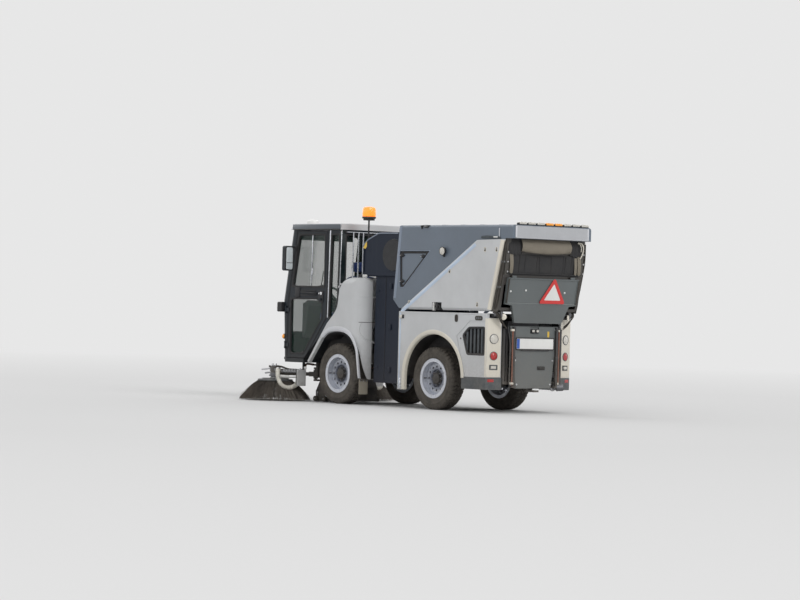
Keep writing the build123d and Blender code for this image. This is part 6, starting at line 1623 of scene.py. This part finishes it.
# Dark liners over the front wheels: an inner wall and a roof sheet under the fender
wall = np.array([(0.33, 0.45), (0.345, 0.6), (0.45, 0.735), (0.6, 0.785),
        (0.8, 0.785), (0.9, 0.77), (0.95, 0.8), (1.06, 0.71), (1.2, 0.52), (1.262, 0.438), (1.0, 0.44)])
piece("front_liner_walls", eachSide(slab(roundLoop(wall, 0.03, 4), 0.332, 0.338, "y", 0.001)),
    blackPlastic, "front_unit")
roofPath = smoothPath(np.array([(-0.345, 0.56), (-0.24, 0.7), (-0.079, 0.772), (0.119, 0.762), (0.225, 0.7)])
    + (fx, 0), 6)
sheet = np.stack([np.stack([roofPath[:, 0], np.full(len(roofPath), y), roofPath[:, 1] - lift], 1)
        for y, lift in ((0.336, 0.0), (0.575, 0.0), (0.575, 0.004), (0.336, 0.004))], 1)
piece("front_liner_roofs", eachSide(surface(sheet, closeColumns=True, caps=True)), blackPlastic, "front_unit")

# Pressed ribs on the hopper top; vents, handles and hinges of the housing
ribs = [softBox((x - 0.03, -0.44, 1.936), (x + 0.03, 0.44, 1.9465), 0.006, 4)
    for x in (-1.78, -1.48, -1.18, -0.88, -0.58)]
piece("hopper_top_ribs", ribs, paints["graphite"], "hopper")
vents = [softBox((x - 0.007, -0.3, 1.857), (x + 0.007, 0.3, 1.8665), 0.004) for x in np.linspace(-0.17, 0.08, 9)]
piece("housing_vents", vents, slatePlastic, "rear_unit")
handles = [pipe([(0.4085, y - 0.06, 1.56), (0.43, y - 0.055, 1.56),
            (0.43, y + 0.055, 1.56), (0.4085, y + 0.06, 1.56)], 0.006, perRun=6) for y in (-0.25, 0.25)]
piece("housing_handles", handles, blackPlastic, "rear_unit")
hingeBlocks = [softBox((-0.075, 0.4395, z), (-0.035, 0.45, z + 0.06), 0.004) for z in (0.36, 0.82, 1.26)]
latchRounds = [lathe([(0.016, 0), (0.016, 0.004), (0.011, 0.007), (0.004, 0.0075)], (0.15, 0.4395, z), toLeft, 20)
    for z in (0.42, 1.24)]
piece("housing_hinges", eachSide(hingeBlocks + latchRounds), paints["housing"], "rear_unit")
# Suction mouth: rubber skirt with slits and small guide rollers
skirts = [softBox((1.088, y, 0.006), (1.306, y + 0.008, 0.06), 0.003) for y in (-0.356, 0.348)]
skirts += [softBox((1.302, -0.35 + 0.035 * i, 0.006), (1.31, -0.318 + 0.035 * i, 0.06), 0.003) for i in range(20)]
piece("mouth_skirt", skirts, blackRubber, "front_unit")
rollerSpots = [(x, side) for x in (1.12, 1.27) for side in (-1, 1)]
rollers = [lathe([(0.02, -0.016), (0.03, -0.014), (0.03, 0.014), (0.02, 0.016)],
        (x, side * 0.378, 0.034), toLeft, 28) for x, side in rollerSpots]
piece("mouth_rollers", rollers, blackRubber, "front_unit")
forks = [softBox((x - 0.012, side * 0.358 - 0.004, 0.03), (x + 0.012, side * 0.358 + 0.004, 0.11), 0.003)
    for x, side in rollerSpots]
pins = [rod((x, side * 0.378 * 0.93, 0.034), (x, side * 0.378 * 1.05, 0.034), 0.007) for x, side in rollerSpots]
piece("mouth_roller_forks", forks + pins, steel, "front_unit")
# Engine: rocker cover, pipe and filter
engineLow, engineHigh = corners("engine_block")
engineTop = engineHigh[2]
piece("engine_cover", [softBox((engineLow[0] + 0.06, -0.15, engineTop - 0.004),
            (engineHigh[0] - 0.06, 0.02, engineTop + 0.035), 0.012, 4)]
    + [softBox((engineLow[0] + 0.09 + 0.055 * i, -0.14, engineTop + 0.03),
            (engineLow[0] + 0.115 + 0.055 * i, 0.01, engineTop + 0.041), 0.004) for i in range(6)],
    slatePlastic, "rear_unit")
piece("engine_pipes", pipe([(engineLow[0] + 0.1, 0.06, engineTop + 0.004),
            (engineLow[0] + 0.12, 0.11, engineTop + 0.035), (engineHigh[0] - 0.1, 0.12, engineTop + 0.03),
            (engineHigh[0] - 0.05, 0.18, engineTop - 0.02)], 0.02, 14), blackRubber, "rear_unit")
piece("engine_filter", lathe([(0.034, -0.06), (0.04, -0.054), (0.04, 0.054), (0.034, 0.06)],
        (engineHigh[0] - 0.12, 0.232, 0.7), toFront, 28), paints["white"], "rear_unit")
print("liners, tops and engine done")
